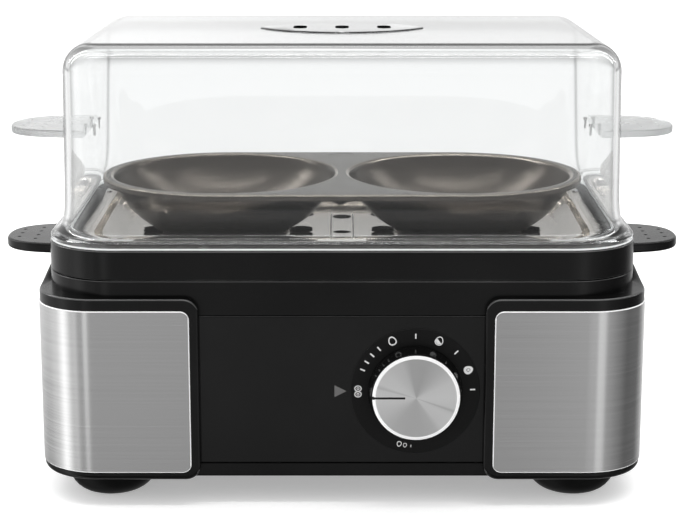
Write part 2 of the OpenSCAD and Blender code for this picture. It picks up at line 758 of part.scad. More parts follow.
// ---------------------------------------------------------------- lid
// Sections of the lid from its rim to its top, moved in by an offset
function lid_sections(o, top) =
    let(zw = lid_z + lid_h - lid_fillet, f = lid_fillet - (top ? o : 0), wall_in = lid_wall_in + lid_draft)
    concat(
        [for (s = [[0, 0, 0], [0, 2.4, 0], [0.9, 3.5, 0.4], [3.2, 4.4, 2],
                [4.9, 7.3, 4.5], [5.9, 12, 7], [6.3, 19, 9]])
            section(lid_rim_in + o + s[0], lid_z + s[1], corner(lid_rim_in + o) - s[2])],
        [section(wall_in + o, zw, lid_corner_r - o)],
        [for (a = [15:15:90]) section(wall_in + o + f * (1 - cos(a)), zw + f * sin(a),
            max(lid_corner_r - o - f * (1 - cos(a)), 0.8))]);

vent_x = [-17.5, 0, 17.5];
vent_w = 5.6;
vent_l = 13;
lens_l = 68;
lens_d = 42;
tongue_w = 34;
tongue_t = 2;
module lid_shell() {
    inner = lid_sections(lid_t, true);
    outer = lid_sections(0, false);
    n = len(inner);
    lens_r = (pow(lens_l / 2, 2) + pow(lens_d / 2, 2)) / lens_d;
    color([0.9, 0.93, 0.95, 0.35]) difference() {
        union() {
            loft(concat([for (i = [n - 1:-1:0]) inner[i]], outer));
            intersection() {
                for_lens(lens_r, 1);
                for_lens(lens_r, -1);
            }
        }
        for (x = vent_x) vent_slot(x);
        for (s = [-1, 1]) scale_side(s) block(
            [body_w / 2 - lid_wall_in - 8, -tongue_w / 2 - 0.1, lug_top - lug_t / 2 - tongue_t / 2 - 0.1],
            [body_w / 2, tongue_w / 2 + 0.1, lug_top - lug_t / 2 + tongue_t / 2 + 0.1]);
    }
}
module for_lens(r, s) {
    translate([0, s * (r - lens_d / 2), lid_top - 0.5]) cylinder(h = 1.1, r = r, $fn = 128);
}
module vent_slot(x) {
    translate([x, 0, lid_top - 5]) {
        for (s = [-1, 1]) translate([0, s * (vent_l - vent_w) / 2, 0])
            cylinder(h = 10, r = vent_w / 2, $fn = 32);
        translate([-vent_w / 2, -(vent_l - vent_w) / 2, 0]) cube([vent_w, vent_l - vent_w, 10]);
    }
}

lug_top = lid_z + lug_z;
lug_x = body_w / 2 - lid_wall_in;
clip_x = body_w / 2 - lid_wall_in - lid_draft - lid_t - 2.6;
module lid_handle(side) {
    color([0.9, 0.93, 0.95, 0.35]) scale_side(side) difference() {
        union() {
            translate([lug_x + 0.2, 0, lug_top - lug_t])
                linear_extrude(lug_t) polygon(paddle(lug_l - 0.2, lug_w));
            block([clip_x, -tongue_w / 2, lug_top - lug_t / 2 - tongue_t / 2],
                [lug_x + 1, tongue_w / 2, lug_top - lug_t / 2 + tongue_t / 2]);
        }
        translate([lug_x, 0, 0]) dimples(lug_l, lug_w, lug_top);
        for (y = [-10, 10]) translate([clip_x + 1.1, y, lug_top - lug_t - 1])
            cylinder(h = lug_t + 2, r = 0.65, $fn = 24);
    }
}

// Small pins through the tongues, inside the lid
module lid_handle_clips() {
    color([0.8, 0.8, 0.8]) for (s = [-1, 1], y = [-10, 10]) scale_side(s)
        translate([clip_x + 1.1, y, lug_top - lug_t / 2 - 2.4]) {
            cylinder(h = 4.8, r = 0.6, $fn = 24);
            translate([0, 0, 3.8]) cylinder(h = 1, r = 1, $fn = 24);
        }
}

housing();
cheek(-1);  // left_cheek
cheek(1);  // right_cheek
steel_panel(-1);  // left_steel_panel
steel_panel(1);  // right_steel_panel
bottom_cover();
foot(-1, -1);  // front_left_foot
foot(1, -1);  // front_right_foot
foot(-1, 1);  // rear_left_foot
foot(1, 1);  // rear_right_foot
foot_pads();
cover_screws();
front_panel();
dial_disc();
dial_marks();
pilot_lens();
pilot_lamp();
knob_skirt();
knob_cap();
control_shaft();
potentiometer();
potentiometer_nut();
control_board();
buzzer();
relay();
board_screws();
cord_gland();
gland_nut();
terminal_block();
basin_gasket();
water_basin();
heat_plate();
heating_element();
element_terminals();
thermostat();
thermal_fuse();
heater_bridge();
bridge_screws();
carrier_ring();
carrier_handle(-1);  // left_carrier_handle
carrier_handle(1);  // right_carrier_handle
carrier_screws();
steel_tray();
tray_rivets();
poaching_pan();
lid_shell();
lid_handle(-1);  // left_lid_handle
lid_handle(1);  // right_lid_handle
lid_handle_clips();
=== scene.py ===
"""Looks for the egg cooker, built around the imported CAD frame.

The pieces' lengths are in millimetres. Those of bumps, the floor, lights and camera are in metres.
"""
import json
import math

import bmesh
import bpy
from mathutils import Matrix, Vector


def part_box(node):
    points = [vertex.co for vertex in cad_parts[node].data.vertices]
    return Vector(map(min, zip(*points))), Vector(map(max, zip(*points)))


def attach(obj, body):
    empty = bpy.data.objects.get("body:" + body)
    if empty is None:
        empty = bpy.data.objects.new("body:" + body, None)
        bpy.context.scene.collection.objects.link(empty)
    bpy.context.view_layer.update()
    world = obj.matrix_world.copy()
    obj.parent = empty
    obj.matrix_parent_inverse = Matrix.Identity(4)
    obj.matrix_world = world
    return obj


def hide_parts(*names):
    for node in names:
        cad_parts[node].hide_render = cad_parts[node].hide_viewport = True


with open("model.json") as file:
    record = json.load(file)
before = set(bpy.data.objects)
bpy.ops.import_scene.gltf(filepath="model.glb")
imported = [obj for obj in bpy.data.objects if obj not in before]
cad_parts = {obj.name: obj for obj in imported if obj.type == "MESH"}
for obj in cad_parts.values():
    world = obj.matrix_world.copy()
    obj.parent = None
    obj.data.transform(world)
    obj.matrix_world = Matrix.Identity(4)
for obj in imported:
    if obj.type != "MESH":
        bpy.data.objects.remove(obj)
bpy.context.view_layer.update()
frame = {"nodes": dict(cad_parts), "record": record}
MM = 0.001

# Sizes and places of the CAD pieces that the looks follow
BODY_W, BODY_D = 240.0, 165.0
CHEEK_R, CORE_R, CORE_IN = 24.0, 28.0, 4.0
FOOT_H, CHEEK_TOP, NECK_TOP = 11.0, 84.3, 90.5
RING_Z, RING_TOP = 90.8, 102.3
LID_Z, LID_TOP = 102.6, 180.1
TRAY_Z, PAN_TOP = 95.3, 119.2
FRONT_Y = -BODY_D / 2 + CORE_IN
CORE_MIDDLE = (BODY_W / 2 - CORE_IN - CORE_R, BODY_D / 2 - CORE_IN - CORE_R)
PANEL_W, PANEL_Z0, PANEL_Z1 = 114.0, 17.2, 76.8
STEEL_X0, STEEL_Z0, STEEL_Z1, STEEL_R = 58.8, 14.4, 79.6, 3.5
KNOB_X, KNOB_Z, KNOB_R = 28.5, 46.642, 33.7 / 2
GLAND_X, GLAND_Z, GLAND_HOLE_R = 36.0, 27.0, 5.7

CORNER_STEPS = 20    # steps round each corner of the base
CORNER_LEAD = 1.5    # from a corner to the support point beside it
QUADRANTS = ((1, 1, 0), (-1, 1, 90), (-1, -1, 180), (1, -1, 270))    # side, side, start angle


def box_mm(node):
    """Lowest and highest corner of a CAD node, in millimetres."""
    lo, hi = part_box(node)
    return lo / MM, hi / MM


# ------------------------------------------------------------------ mesh tools
def corner_radius(inset):
    """Corner radius of the base's outline: that of the cheeks outside the core, else the core's."""
    return CHEEK_R - inset if inset < CORE_IN - 0.01 else max(CORE_R + CORE_IN - inset, 0.6)


def arc(cx, cy, r, a0, a1, n):
    return [(cx + r * math.cos(math.radians(a0 + (a1 - a0) * i / n)),
             cy + r * math.sin(math.radians(a0 + (a1 - a0) * i / n))) for i in range(n + 1)]


def outline(inset, r=None):
    """Rounded rectangle, counter-clockwise, with a support point beside each corner."""
    w, d = BODY_W / 2 - inset, BODY_D / 2 - inset
    r = corner_radius(inset) if r is None else r
    pts = []
    for sx, sy, a in QUADRANTS:
        c = arc(sx * (w - r), sy * (d - r), r, a, a + 90, CORNER_STEPS)
        t0 = Vector((math.sin(math.radians(a)), -math.cos(math.radians(a))))
        t1 = Vector((-math.sin(math.radians(a + 90)), math.cos(math.radians(a + 90))))
        first, last = Vector(c[0]) + t0 * CORNER_LEAD, Vector(c[-1]) + t1 * CORNER_LEAD
        pts += [tuple(first)] + c + [tuple(last)]
    return pts


def section(inset, z, r=None):
    return [(x, y, z) for x, y in outline(inset, r)]


def rounded_profile(points, steps=4):
    """Closed 2-D profile of (a, b, radius) points with its corners rounded."""
    out = []
    n = len(points)
    for i, (a, b, r) in enumerate(points):
        p = Vector((a, b))
        p0 = Vector(points[i - 1][:2]) - p
        p1 = Vector(points[(i + 1) % n][:2]) - p
        if r <= 0:
            out.append((a, b))
            continue
        half = p0.angle(p1) / 2
        cut = min(r / math.tan(half), p0.length * 0.49, p1.length * 0.49)
        q0, q1 = p + p0.normalized() * cut, p + p1.normalized() * cut
        for k in range(steps + 1):
            t = k / steps
            out.append(tuple(q0 * (1 - t) ** 2 + p * 2 * t * (1 - t) + q1 * t * t))
    return out


def new_object(name, data):
    ob = bpy.data.objects.new(name, data)
    bpy.context.scene.collection.objects.link(ob)
    return ob


def new_mesh(name, verts, faces, merge=0.0):
    """Mesh with its faces turned outwards. Points within merge metres become one."""
    me = bpy.data.meshes.new(name)
    me.from_pydata([tuple(c * MM for c in v) for v in verts], [], faces)
    bm = bmesh.new()
    bm.from_mesh(me)
    if merge:
        bmesh.ops.remove_doubles(bm, verts=bm.verts, dist=merge)
    bmesh.ops.recalc_face_normals(bm, faces=bm.faces)
    bm.to_mesh(me)
    bm.free()
    return me


def mesh_object(name, verts, faces, body, slot, material, replaces=(), sharp=40.0):
    ob = new_object(name, new_mesh(name, verts, faces, 1e-7))
    finish_piece(ob, body, material, replaces, sharp)
    return ob


def finish_piece(ob, body, material, replaces=(), sharp=40.0):
    shade(ob, sharp)
    wn = ob.modifiers.new("flat faces first", "WEIGHTED_NORMAL")
    wn.keep_sharp = True
    wn.weight = 80
    ob.data.materials.clear()
    ob.data.materials.append(material)
    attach(ob, body)
    if replaces:
        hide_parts(*replaces)


def shade(ob, sharp=40.0):
    """Smooth shading, but for the edges above an angle in degrees."""
    for p in ob.data.polygons:
        p.use_smooth = True
    ob.data.set_sharp_from_angle(angle=math.radians(sharp))


def paint_edge_highlight(ob, core, radius):
    """Painted highlight: a lighter, glossier black on the slanting faces of a black piece's outer edges."""
    ob.data.materials.append(BLACK_EDGE_HIGHLIGHT)
    for face in ob.data.polygons:
        c = Vector(face.center) / MM
        reach = math.hypot(max(abs(c.x) - core[0], 0), max(abs(c.y) - core[1], 0))
        if reach > radius - 1.2 and 0.3 < abs(face.normal.z) < 0.93 and c.z > FOOT_H + 3:
            face.material_index = 1


def bevel(ob, width, segments, angle=35.0):
    b = ob.modifiers.new("soft edges", "BEVEL")
    b.width, b.segments, b.limit_method = width * MM, segments, "ANGLE"
    b.angle_limit = math.radians(angle)
    b.harden_normals = False
    b.miter_outer = "MITER_ARC"


def strip(loops, around=False, cap=False):
    """Faces between loops of points of one length. around joins the last loop to the first."""
    n, m = len(loops[0]), len(loops)
    verts = [v for loop in loops for v in loop]
    faces = []
    for j in range(m if around else m - 1):
        k = (j + 1) % m
        for i in range(n):
            i2 = (i + 1) % n
            faces.append((j * n + i, j * n + i2, k * n + i2, k * n + i))
    if cap:
        faces.append(tuple(range(n))[::-1])
        faces.append(tuple((m - 1) * n + i for i in range(n)))
    return verts, faces


def swept_ring(name, profile, body, slot, material, replaces=(), sharp=40.0):
    """Closed (inset, z) profile carried round the base's outline."""
    loops = [section(a, z) for a, z in profile]
    v, f = strip(loops, around=True)
    return mesh_object(name, v, f, body, slot, material, replaces, sharp)


def lathe_points(profile, n):
    """Loops of an (r, h) profile round the Z axis."""
    return [[(r * math.cos(2 * math.pi * i / n), r * math.sin(2 * math.pi * i / n), h)
             for i in range(n)] for r, h in profile]


def lathe(name, profile, place, body, slot, material, replaces=(), sharp=40.0, n=96, closed=False):
    """Solid of an (r, h) profile turned round the Z axis, then placed. closed profiles make a ring."""
    loops = lathe_points(profile, n)
    v, f = strip(loops, around=closed, cap=not closed)
    v = [tuple(place @ Vector(p)) for p in v]
    return mesh_object(name, v, f, body, slot, material, replaces, sharp)


def facing_front(x, y, z):
    """Turns +Z of a lathe to face the front, -Y."""
    return Matrix.Translation((x, y, z)) @ Matrix.Rotation(math.radians(90), 4, "X")


def joined(pieces):
    """One (verts, faces) pair from several."""
    verts, faces = [], []
    for v, f in pieces:
        base = len(verts)
        verts += v
        faces += [tuple(i + base for i in face) for face in f]
    return verts, faces


def cut(ob, cutters, operation="DIFFERENCE"):
    """Boolean of ob with a mesh made of (verts, faces) pieces, applied at once."""
    tool = new_object("cutter", new_mesh("cutter", *joined(cutters)))
    held = list(ob.modifiers)
    for m in held:
        m.show_viewport = False
    mod = ob.modifiers.new("cut", "BOOLEAN")
    mod.operation, mod.solver, mod.object = operation, "EXACT", tool
    bpy.context.view_layer.update()
    dg = bpy.context.evaluated_depsgraph_get()
    made = bpy.data.meshes.new_from_object(ob.evaluated_get(dg))
    ob.modifiers.remove(mod)
    for m in held:
        m.show_viewport = True
    old = ob.data
    ob.data = made
    bpy.data.meshes.remove(old)
    bpy.data.objects.remove(tool)
    shade(ob)


def cylinder_tool(x, y, z0, z1, r, n, r1=None):
    """Upright cylinder, or a cone where r1 gives its top another radius."""
    return strip([[(x + q * math.cos(2 * math.pi * i / n), y + q * math.sin(2 * math.pi * i / n), z)
                   for i in range(n)] for z, q in ((z0, r), (z1, r if r1 is None else r1))], cap=True)


def box_tool(lo, hi):
    (x0, y0, z0), (x1, y1, z1) = lo, hi
    return strip([[(x0, y0, z), (x1, y0, z), (x1, y1, z), (x0, y1, z)] for z in (z0, z1)], cap=True)


# ------------------------------------------------------------------ materials
def new_material(name):
    mat = bpy.data.materials.new(name)
    mat.use_nodes = True
    nt = mat.node_tree
    bsdf = nt.nodes["Principled BSDF"]
    return mat, nt, bsdf


def node(nt, kind, **values):
    n = nt.nodes.new(kind)
    for k, v in values.items():
        setattr(n, k, v)
    return n


def coords(nt, scale=(1, 1, 1)):
    tc = node(nt, "ShaderNodeTexCoord")
    mp = node(nt, "ShaderNodeMapping")
    mp.inputs["Scale"].default_value = scale
    nt.links.new(tc.outputs["Object"], mp.inputs["Vector"])
    return mp.outputs["Vector"]


def noise(nt, vector, scale, detail=3.0, roughness=0.5):
    n = node(nt, "ShaderNodeTexNoise")
    n.inputs["Scale"].default_value = scale
    n.inputs["Detail"].default_value = detail
    n.inputs["Roughness"].default_value = roughness
    nt.links.new(vector, n.inputs["Vector"])
    return n.outputs["Fac"]


def ramp(nt, fac, stops):
    r = node(nt, "ShaderNodeValToRGB")
    e = r.color_ramp.elements
    while len(e) < len(stops):
        e.new(0.5)
    for el, (pos, col) in zip(e, stops):
        el.position = pos
        el.color = (*col, 1) if isinstance(col, tuple) else (col, col, col, 1)
    nt.links.new(fac, r.inputs["Fac"])
    return r.outputs["Color"]


def map_range(nt, fac, lo, hi, from_lo=0.0, from_hi=1.0):
    m = node(nt, "ShaderNodeMapRange")
    m.inputs["From Min"].default_value = from_lo
    m.inputs["From Max"].default_value = from_hi
    m.inputs["To Min"].default_value = lo
    m.inputs["To Max"].default_value = hi
    nt.links.new(fac, m.inputs["Value"])
    return m.outputs["Result"]


def mix(nt, factor, a, b, kind="RGBA", blend="MIX"):
    """Mix of two colours or floats. Each input is a socket or a plain value."""
    m = node(nt, "ShaderNodeMix", data_type=kind, blend_type=blend)
    first, result = (6, 2) if kind == "RGBA" else (2, 0)
    for i, value in ((0, factor), (first, a), (first + 1, b)):
        if isinstance(value, bpy.types.NodeSocket):
            nt.links.new(value, m.inputs[i])
        else:
            m.inputs[i].default_value = value
    return m.outputs[result]


def add_bump(nt, bsdf, height, strength, distance):
    b = node(nt, "ShaderNodeBump")
    b.inputs["Strength"].default_value = strength
    b.inputs["Distance"].default_value = distance
    nt.links.new(height, b.inputs["Height"])
    nt.links.new(b.outputs["Normal"], bsdf.inputs["Normal"])


def plastic(name, dark, light, rough, grain_scale=2600.0, grain=0.12, spec=0.5, coat=0.0):
    """Moulded plastic: a fine spark-eroded grain and slow changes of sheen."""
    mat, nt, bsdf = new_material(name)
    slow = noise(nt, coords(nt), 26.0, 3.0)
    fine = noise(nt, coords(nt), grain_scale, 2.0, 0.6)
    nt.links.new(ramp(nt, slow, [(0.3, dark), (0.7, light)]), bsdf.inputs["Base Color"])
    nt.links.new(map_range(nt, slow, rough[0], rough[1], 0.3, 0.7), bsdf.inputs["Roughness"])
    bsdf.inputs["Specular IOR Level"].default_value = spec
    bsdf.inputs["Coat Weight"].default_value = coat
    bsdf.inputs["Coat Roughness"].default_value = 0.06
    add_bump(nt, bsdf, fine, grain, 0.00008)
    return mat


def brushed(name, base_lo, base_hi, rough, stretch, streak=0.35, bump=0.12, aniso=0.0):
    """Brushed metal: streaks that are long one way and very fine the other."""
    mat, nt, bsdf = new_material(name)
    fine = noise(nt, coords(nt, stretch), 1.0, 4.0, 0.65)
    broad = noise(nt, coords(nt, tuple(s * 0.22 for s in stretch)), 1.0, 3.0, 0.5)
    both = mix(nt, streak, fine, broad, "FLOAT")
    nt.links.new(ramp(nt, both, [(0.3, base_lo), (0.7, base_hi)]), bsdf.inputs["Base Color"])
    nt.links.new(map_range(nt, both, rough[0], rough[1], 0.3, 0.7), bsdf.inputs["Roughness"])
    bsdf.inputs["Metallic"].default_value = 1.0
    bsdf.inputs["Anisotropic"].default_value = aniso
    bsdf.inputs["Anisotropic Rotation"].default_value = 0.25
    if aniso:
        around = node(nt, "ShaderNodeTangent", direction_type="RADIAL", axis="Z")
        nt.links.new(around.outputs[0], bsdf.inputs["Tangent"])
    add_bump(nt, bsdf, fine, bump, 0.00005)
    return mat


def lathed(name, base_lo, base_hi, rough, aniso, painted_sheen_stops=None, metallic=1.0):
    """Turned face: fine rings round the knob's axis.
    Its optional (angle, shade) stops paint a conical sheen into the base colour, darker by angle round the
    axis."""
    mat, nt, bsdf = new_material(name)
    tc = node(nt, "ShaderNodeTexCoord")
    sub = node(nt, "ShaderNodeVectorMath", operation="SUBTRACT")
    sub.inputs[1].default_value = (KNOB_X * MM, 0, KNOB_Z * MM)
    flat = node(nt, "ShaderNodeVectorMath", operation="MULTIPLY")
    flat.inputs[1].default_value = (1, 0, 1)
    length = node(nt, "ShaderNodeVectorMath", operation="LENGTH")
    nt.links.new(tc.outputs["Object"], sub.inputs[0])
    nt.links.new(sub.outputs[0], flat.inputs[0])
    nt.links.new(flat.outputs[0], length.inputs[0])
    comb = node(nt, "ShaderNodeCombineXYZ")
    nt.links.new(length.outputs["Value"], comb.inputs[0])
    rings = noise(nt, comb.outputs[0], 5200.0, 3.0, 0.6)
    colour = ramp(nt, rings, [(0.3, base_lo), (0.7, base_hi)])
    # Painted sheen: the base colour darkened by angle round the knob's axis
    if painted_sheen_stops:
        parts = node(nt, "ShaderNodeSeparateXYZ")
        nt.links.new(flat.outputs[0], parts.inputs[0])
        angle = node(nt, "ShaderNodeMath", operation="ARCTAN2")
        nt.links.new(parts.outputs["Z"], angle.inputs[0])
        nt.links.new(parts.outputs["X"], angle.inputs[1])
        share = map_range(nt, angle.outputs[0], 0.0, 1.0, -math.pi, math.pi)
        painted_sheen = ramp(nt, share, [((a + 180) / 360, v) for a, v in painted_sheen_stops])
        colour = mix(nt, 1.0, colour, painted_sheen, blend="MULTIPLY")
    nt.links.new(colour, bsdf.inputs["Base Color"])
    nt.links.new(map_range(nt, rings, rough[0], rough[1], 0.3, 0.7), bsdf.inputs["Roughness"])
    bsdf.inputs["Metallic"].default_value = metallic
    bsdf.inputs["Anisotropic"].default_value = aniso
    bsdf.inputs["Anisotropic Rotation"].default_value = 0.25
    tangent = node(nt, "ShaderNodeTangent", direction_type="RADIAL", axis="Y")
    nt.links.new(tangent.outputs[0], bsdf.inputs["Tangent"])
    add_bump(nt, bsdf, rings, 0.1, 0.00004)
    return mat


def coated(name, dark, light, rough, metallic=0.5, fleck=0.5):
    """Non-stick coat: dark with fine metallic flecks."""
    mat, nt, bsdf = new_material(name)
    slow = noise(nt, coords(nt), 34.0, 3.0)
    flecks = noise(nt, coords(nt), 1500.0, 2.0, 0.7)
    both = mix(nt, fleck, slow, flecks, "FLOAT")
    nt.links.new(ramp(nt, both, [(0.35, dark), (0.65, light)]), bsdf.inputs["Base Color"])
    nt.links.new(map_range(nt, both, rough[0], rough[1], 0.35, 0.65), bsdf.inputs["Roughness"])
    bsdf.inputs["Metallic"].default_value = metallic
    add_bump(nt, bsdf, flecks, 0.02, 0.00006)
    return mat


def clear(name, tint, rough):
    """Clear plastic that lets lamp light through."""
    mat, nt, bsdf = new_material(name)
    bsdf.inputs["Base Color"].default_value = (*tint, 1)
    bsdf.inputs["Transmission Weight"].default_value = 1.0
    bsdf.inputs["IOR"].default_value = 1.49
    slow = noise(nt, coords(nt), 40.0, 3.0)
    nt.links.new(map_range(nt, slow, rough[0], rough[1], 0.3, 0.7), bsdf.inputs["Roughness"])
    lamp = node(nt, "ShaderNodeBsdfTransparent")
    lamp.inputs["Color"].default_value = (0.96, 0.97, 0.97, 1)
    path = node(nt, "ShaderNodeLightPath")
    choice = node(nt, "ShaderNodeMixShader")
    nt.links.new(path.outputs["Is Shadow Ray"], choice.inputs[0])
    nt.links.new(bsdf.outputs[0], choice.inputs[1])
    nt.links.new(lamp.outputs[0], choice.inputs[2])
    nt.links.new(choice.outputs[0], nt.nodes["Material Output"].inputs["Surface"])
    return mat


STEEL = brushed("brushed steel", 0.63, 0.79, (0.19, 0.28), (9, 9, 3200), aniso=0.92, bump=0.10)
TRAY_STEEL = brushed("satin tray steel", (0.52, 0.49, 0.455), (0.62, 0.59, 0.55), (0.10, 0.17),
                     (40, 900, 900), bump=0.01)
BLACK = plastic("black plastic", 0.002, 0.004, (0.2, 0.28), spec=0.24)
# Painted highlight: a lighter black for the outer edge faces of the black pieces
BLACK_EDGE_HIGHLIGHT = plastic("black edge painted highlight", 0.03, 0.05, (0.2, 0.26), spec=0.6)
GLOSS = plastic("gloss black panel", 0.002, 0.004, (0.05, 0.09), grain=0.0, spec=0.3)
DIAL = plastic("dial black", 0.003, 0.005, (0.4, 0.5), spec=0.2)
KNOB_SIDE = plastic("knob side", 0.003, 0.005, (0.12, 0.18), grain=0.03, spec=0.4)
# Painted sheen on the knob's face: shade by angle in degrees, with thin darker rays
KNOB_PAINTED_SHEEN = [(-180, 1.0), (-172, 1.0), (-150, 0.93), (-125, 0.82), (-100, 0.80), (-80, 0.80),
         (-60, 0.84), (-50, 1.0), (-30, 1.0), (-23, 0.93), (-20, 0.72), (-16, 0.95), (0, 1.0),
         (25, 1.0), (50, 0.84), (75, 0.72), (100, 0.74), (112, 0.92), (140, 1.0), (158, 1.0),
         (164, 0.80), (167, 0.97), (180, 1.0)]
KNOB_FACE = lathed("turned aluminium", 0.64, 0.72, (0.42, 0.48), 0.6, KNOB_PAINTED_SHEEN, 0.72)
# Painted highlight: a near-white, half-diffuse ring on the knob's chamfer
KNOB_EDGE_HIGHLIGHT = lathed("chamfer painted highlight", 0.96, 0.99, (0.30, 0.36), 0.0, None, 0.3)
PRINT = plastic("white print", (0.62, 0.62, 0.62), (0.7, 0.7, 0.7), (0.45, 0.55), grain=0.02)
PILOT = plastic("pilot lens", (0.085, 0.083, 0.082), (0.11, 0.108, 0.107), (0.2, 0.3), coat=0.3)
PAN = coated("pan coat", (0.060, 0.052, 0.045), (0.070, 0.061, 0.052), (0.23, 0.26), 0.8, 0.35)
# Painted highlight: a lighter coat for the rim's top band, where the light from above is caught
PAN_RIM_HIGHLIGHT = coated("pan rim painted highlight", (0.22, 0.2, 0.175), (0.32, 0.29, 0.255), (0.2, 0.27), 0.9, 0.88)
BASIN = coated("basin coat", (0.03, 0.03, 0.03), (0.06, 0.06, 0.06), (0.3, 0.45), 0.3)
CLEAR = clear("clear plastic", (0.955, 0.962, 0.962), (0.0, 0.02))
# Painted highlight: a half-clear, whitish plastic for the lid's lowest outer band
CLEAR_EDGE_HIGHLIGHT = clear("clear edge painted highlight", (0.93, 0.94, 0.94), (0.3, 0.4))
CLEAR_EDGE_HIGHLIGHT.node_tree.nodes["Principled BSDF"].inputs["Transmission Weight"].default_value = 0.35
CLEAR_GRAIN = clear("grained clear plastic", (0.80, 0.81, 0.81), (0.22, 0.34))
# Painted highlight: a near-white, half-diffuse steel for edge faces, bright under any light
STEEL_EDGE_HIGHLIGHT = brushed("steel edge painted highlight", 0.94, 0.98, (0.36, 0.42), (60, 60, 900), bump=0.03)
STEEL_EDGE_HIGHLIGHT.node_tree.nodes["Principled BSDF"].inputs["Metallic"].default_value = 0.3
FOOT = plastic("foot plastic", 0.002, 0.004, (0.4, 0.5), spec=0.12)
RUBBER = plastic("rubber", 0.012, 0.02, (0.7, 0.8), grain_scale=1600, grain=0.25, spec=0.3)
PLAIN = {
    "black_plastic": BLACK, "gloss_black": GLOSS, "brushed_steel": STEEL, "tray_steel": TRAY_STEEL,
    "bright_metal": brushed("plated metal", 0.66, 0.76, (0.2, 0.3), (300, 300, 900), bump=0.04),
    "knob_aluminium": KNOB_FACE,
    "heater_aluminium": coated("cast aluminium", 0.5, 0.62, (0.4, 0.55), 1.0, 0.4),
    "print_white": PRINT, "pilot_grey": PILOT,
    "lamp_red": plastic("lamp", (0.5, 0.08, 0.04), (0.6, 0.12, 0.06), (0.2, 0.3), grain=0.02, coat=0.5),
    "rubber_black": RUBBER,
    "silicone_red": plastic("silicone", (0.42, 0.1, 0.06), (0.5, 0.14, 0.09), (0.6, 0.7), grain=0.1),
    "board_green": plastic("board", (0.02, 0.12, 0.05), (0.03, 0.17, 0.07), (0.35, 0.5), grain=0.1),
    "relay_blue": plastic("relay case", (0.03, 0.06, 0.2), (0.04, 0.08, 0.26), (0.3, 0.4), grain=0.08),
    "terminal_white": plastic("terminal", (0.7, 0.7, 0.64), (0.78, 0.78, 0.72), (0.4, 0.5), grain=0.08),
    "basin_coat": BASIN, "pan_coat": PAN,
    "heater_sheath": coated("heat-tinted sheath", (0.12, 0.09, 0.07), (0.28, 0.22, 0.2), (0.35, 0.5),
                            1.0, 0.3),
    "sheet_steel": brushed("zinc plate", (0.45, 0.46, 0.48), (0.58, 0.59, 0.6), (0.35, 0.5),
                           (60, 60, 60), bump=0.05),
    "clear_plastic": CLEAR,
}
slot_of = {s["node"]: s["material_slot"] for s in frame["record"]["subparts"]}
for name, ob in frame["nodes"].items():
    ob.data.materials.clear()
    ob.data.materials.append(PLAIN[slot_of[name]])


# ------------------------------------------------------------------ base
def cheek_path(inset, x0, leads, side_steps=24):
    """Points along the outside of one end of the base, from the front round to the back."""
    w, d = BODY_W / 2 - inset, BODY_D / 2 - inset
    cr = corner_radius(inset)
    front = [(x0 + a, -d) for a in leads] + [(w - cr - CORNER_LEAD, -d)]
    front += arc(w - cr, cr - d, cr, 270, 360, CORNER_STEPS)
    run = d - cr
    side = [(w, -run + 2 * run * i / side_steps) for i in range(1, side_steps)]
    back = [(x, -y) for x, y in reversed(front)]
    return front + side + back


def hump(y):
    """How far the cheek's top edge rises towards the middle of the side."""
    run, height = BODY_D * 0.36, 3.4
    t = min(max((run - abs(y)) / (run / 2), 0), 1)
    return height * t * t * (3 - 2 * t) * 0.5 + height * t * 0.5


def quarter(fillet, distance):
    """How far a rounded edge has fallen back at a distance from its end."""
    gap = max(fillet - distance, 0.0)
    return fillet - math.sqrt(max(fillet ** 2 - gap ** 2, 0.0))


def band(name, side, depths, x0, heights, r, fillets, slot, material, replaces, rise=False):
    """A sheet that wraps one end of the base, with rounded corners and edges.
    depths are its outer and inner insets, heights its bottom and top, r the radius of its corners,
    and fillets the radii of its bottom and top edges."""
    (outer_in, inner_in), (z0, z1), (low_f, top_f) = depths, heights, fillets
    leads = [top_f * k for k in (0, 0.02, 0.08, 0.2, 0.4, 0.65, 1.0)]
    corner = [r * (1 - math.cos(math.radians(a))) for a in range(10, 91, 8)]
    leads += [x for x in corner if x > top_f * 1.1]
    out_path = cheek_path(outer_in, x0, leads)
    in_path = cheek_path(inner_in, x0, leads)
    unit_path = cheek_path(outer_in + 1.0, x0, leads)
    loops = []
    for po, pu, pi in zip(out_path, unit_path, in_path):
        from_end = po[0] - x0
        drop = r - math.sqrt(max(r * r - max(r - from_end, 0) ** 2, 0))
        lo, hi = z0 + drop, z1 - drop
        if rise and abs(po[0]) > BODY_W / 2 - outer_in - 1:
            hi += hump(po[1])
        back = quarter(top_f, from_end)

        def at(depth):
            depth = max(depth, back)
            return (po[0] + (pu[0] - po[0]) * depth, po[1] + (pu[1] - po[1]) * depth)
        rows = [(pi, lo), (at(low_f), lo)]
        steps = 5
        for k in range(1, steps + 1):
            a = math.pi / 2 * k / steps
            rows.append((at(low_f * (1 - math.sin(a))), lo + low_f * (1 - math.cos(a))))
        for k in range(steps, -1, -1):
            a = math.pi / 2 * k / steps
            rows.append((at(top_f * (1 - math.sin(a))), hi - top_f * (1 - math.cos(a))))
        rows.append((pi, hi))
        loops.append([(side * q[0], q[1], z) for q, z in rows])
    v, f = strip(loops, cap=True)
    return mesh_object(name, v, f, "base", slot, material, replaces, 50)


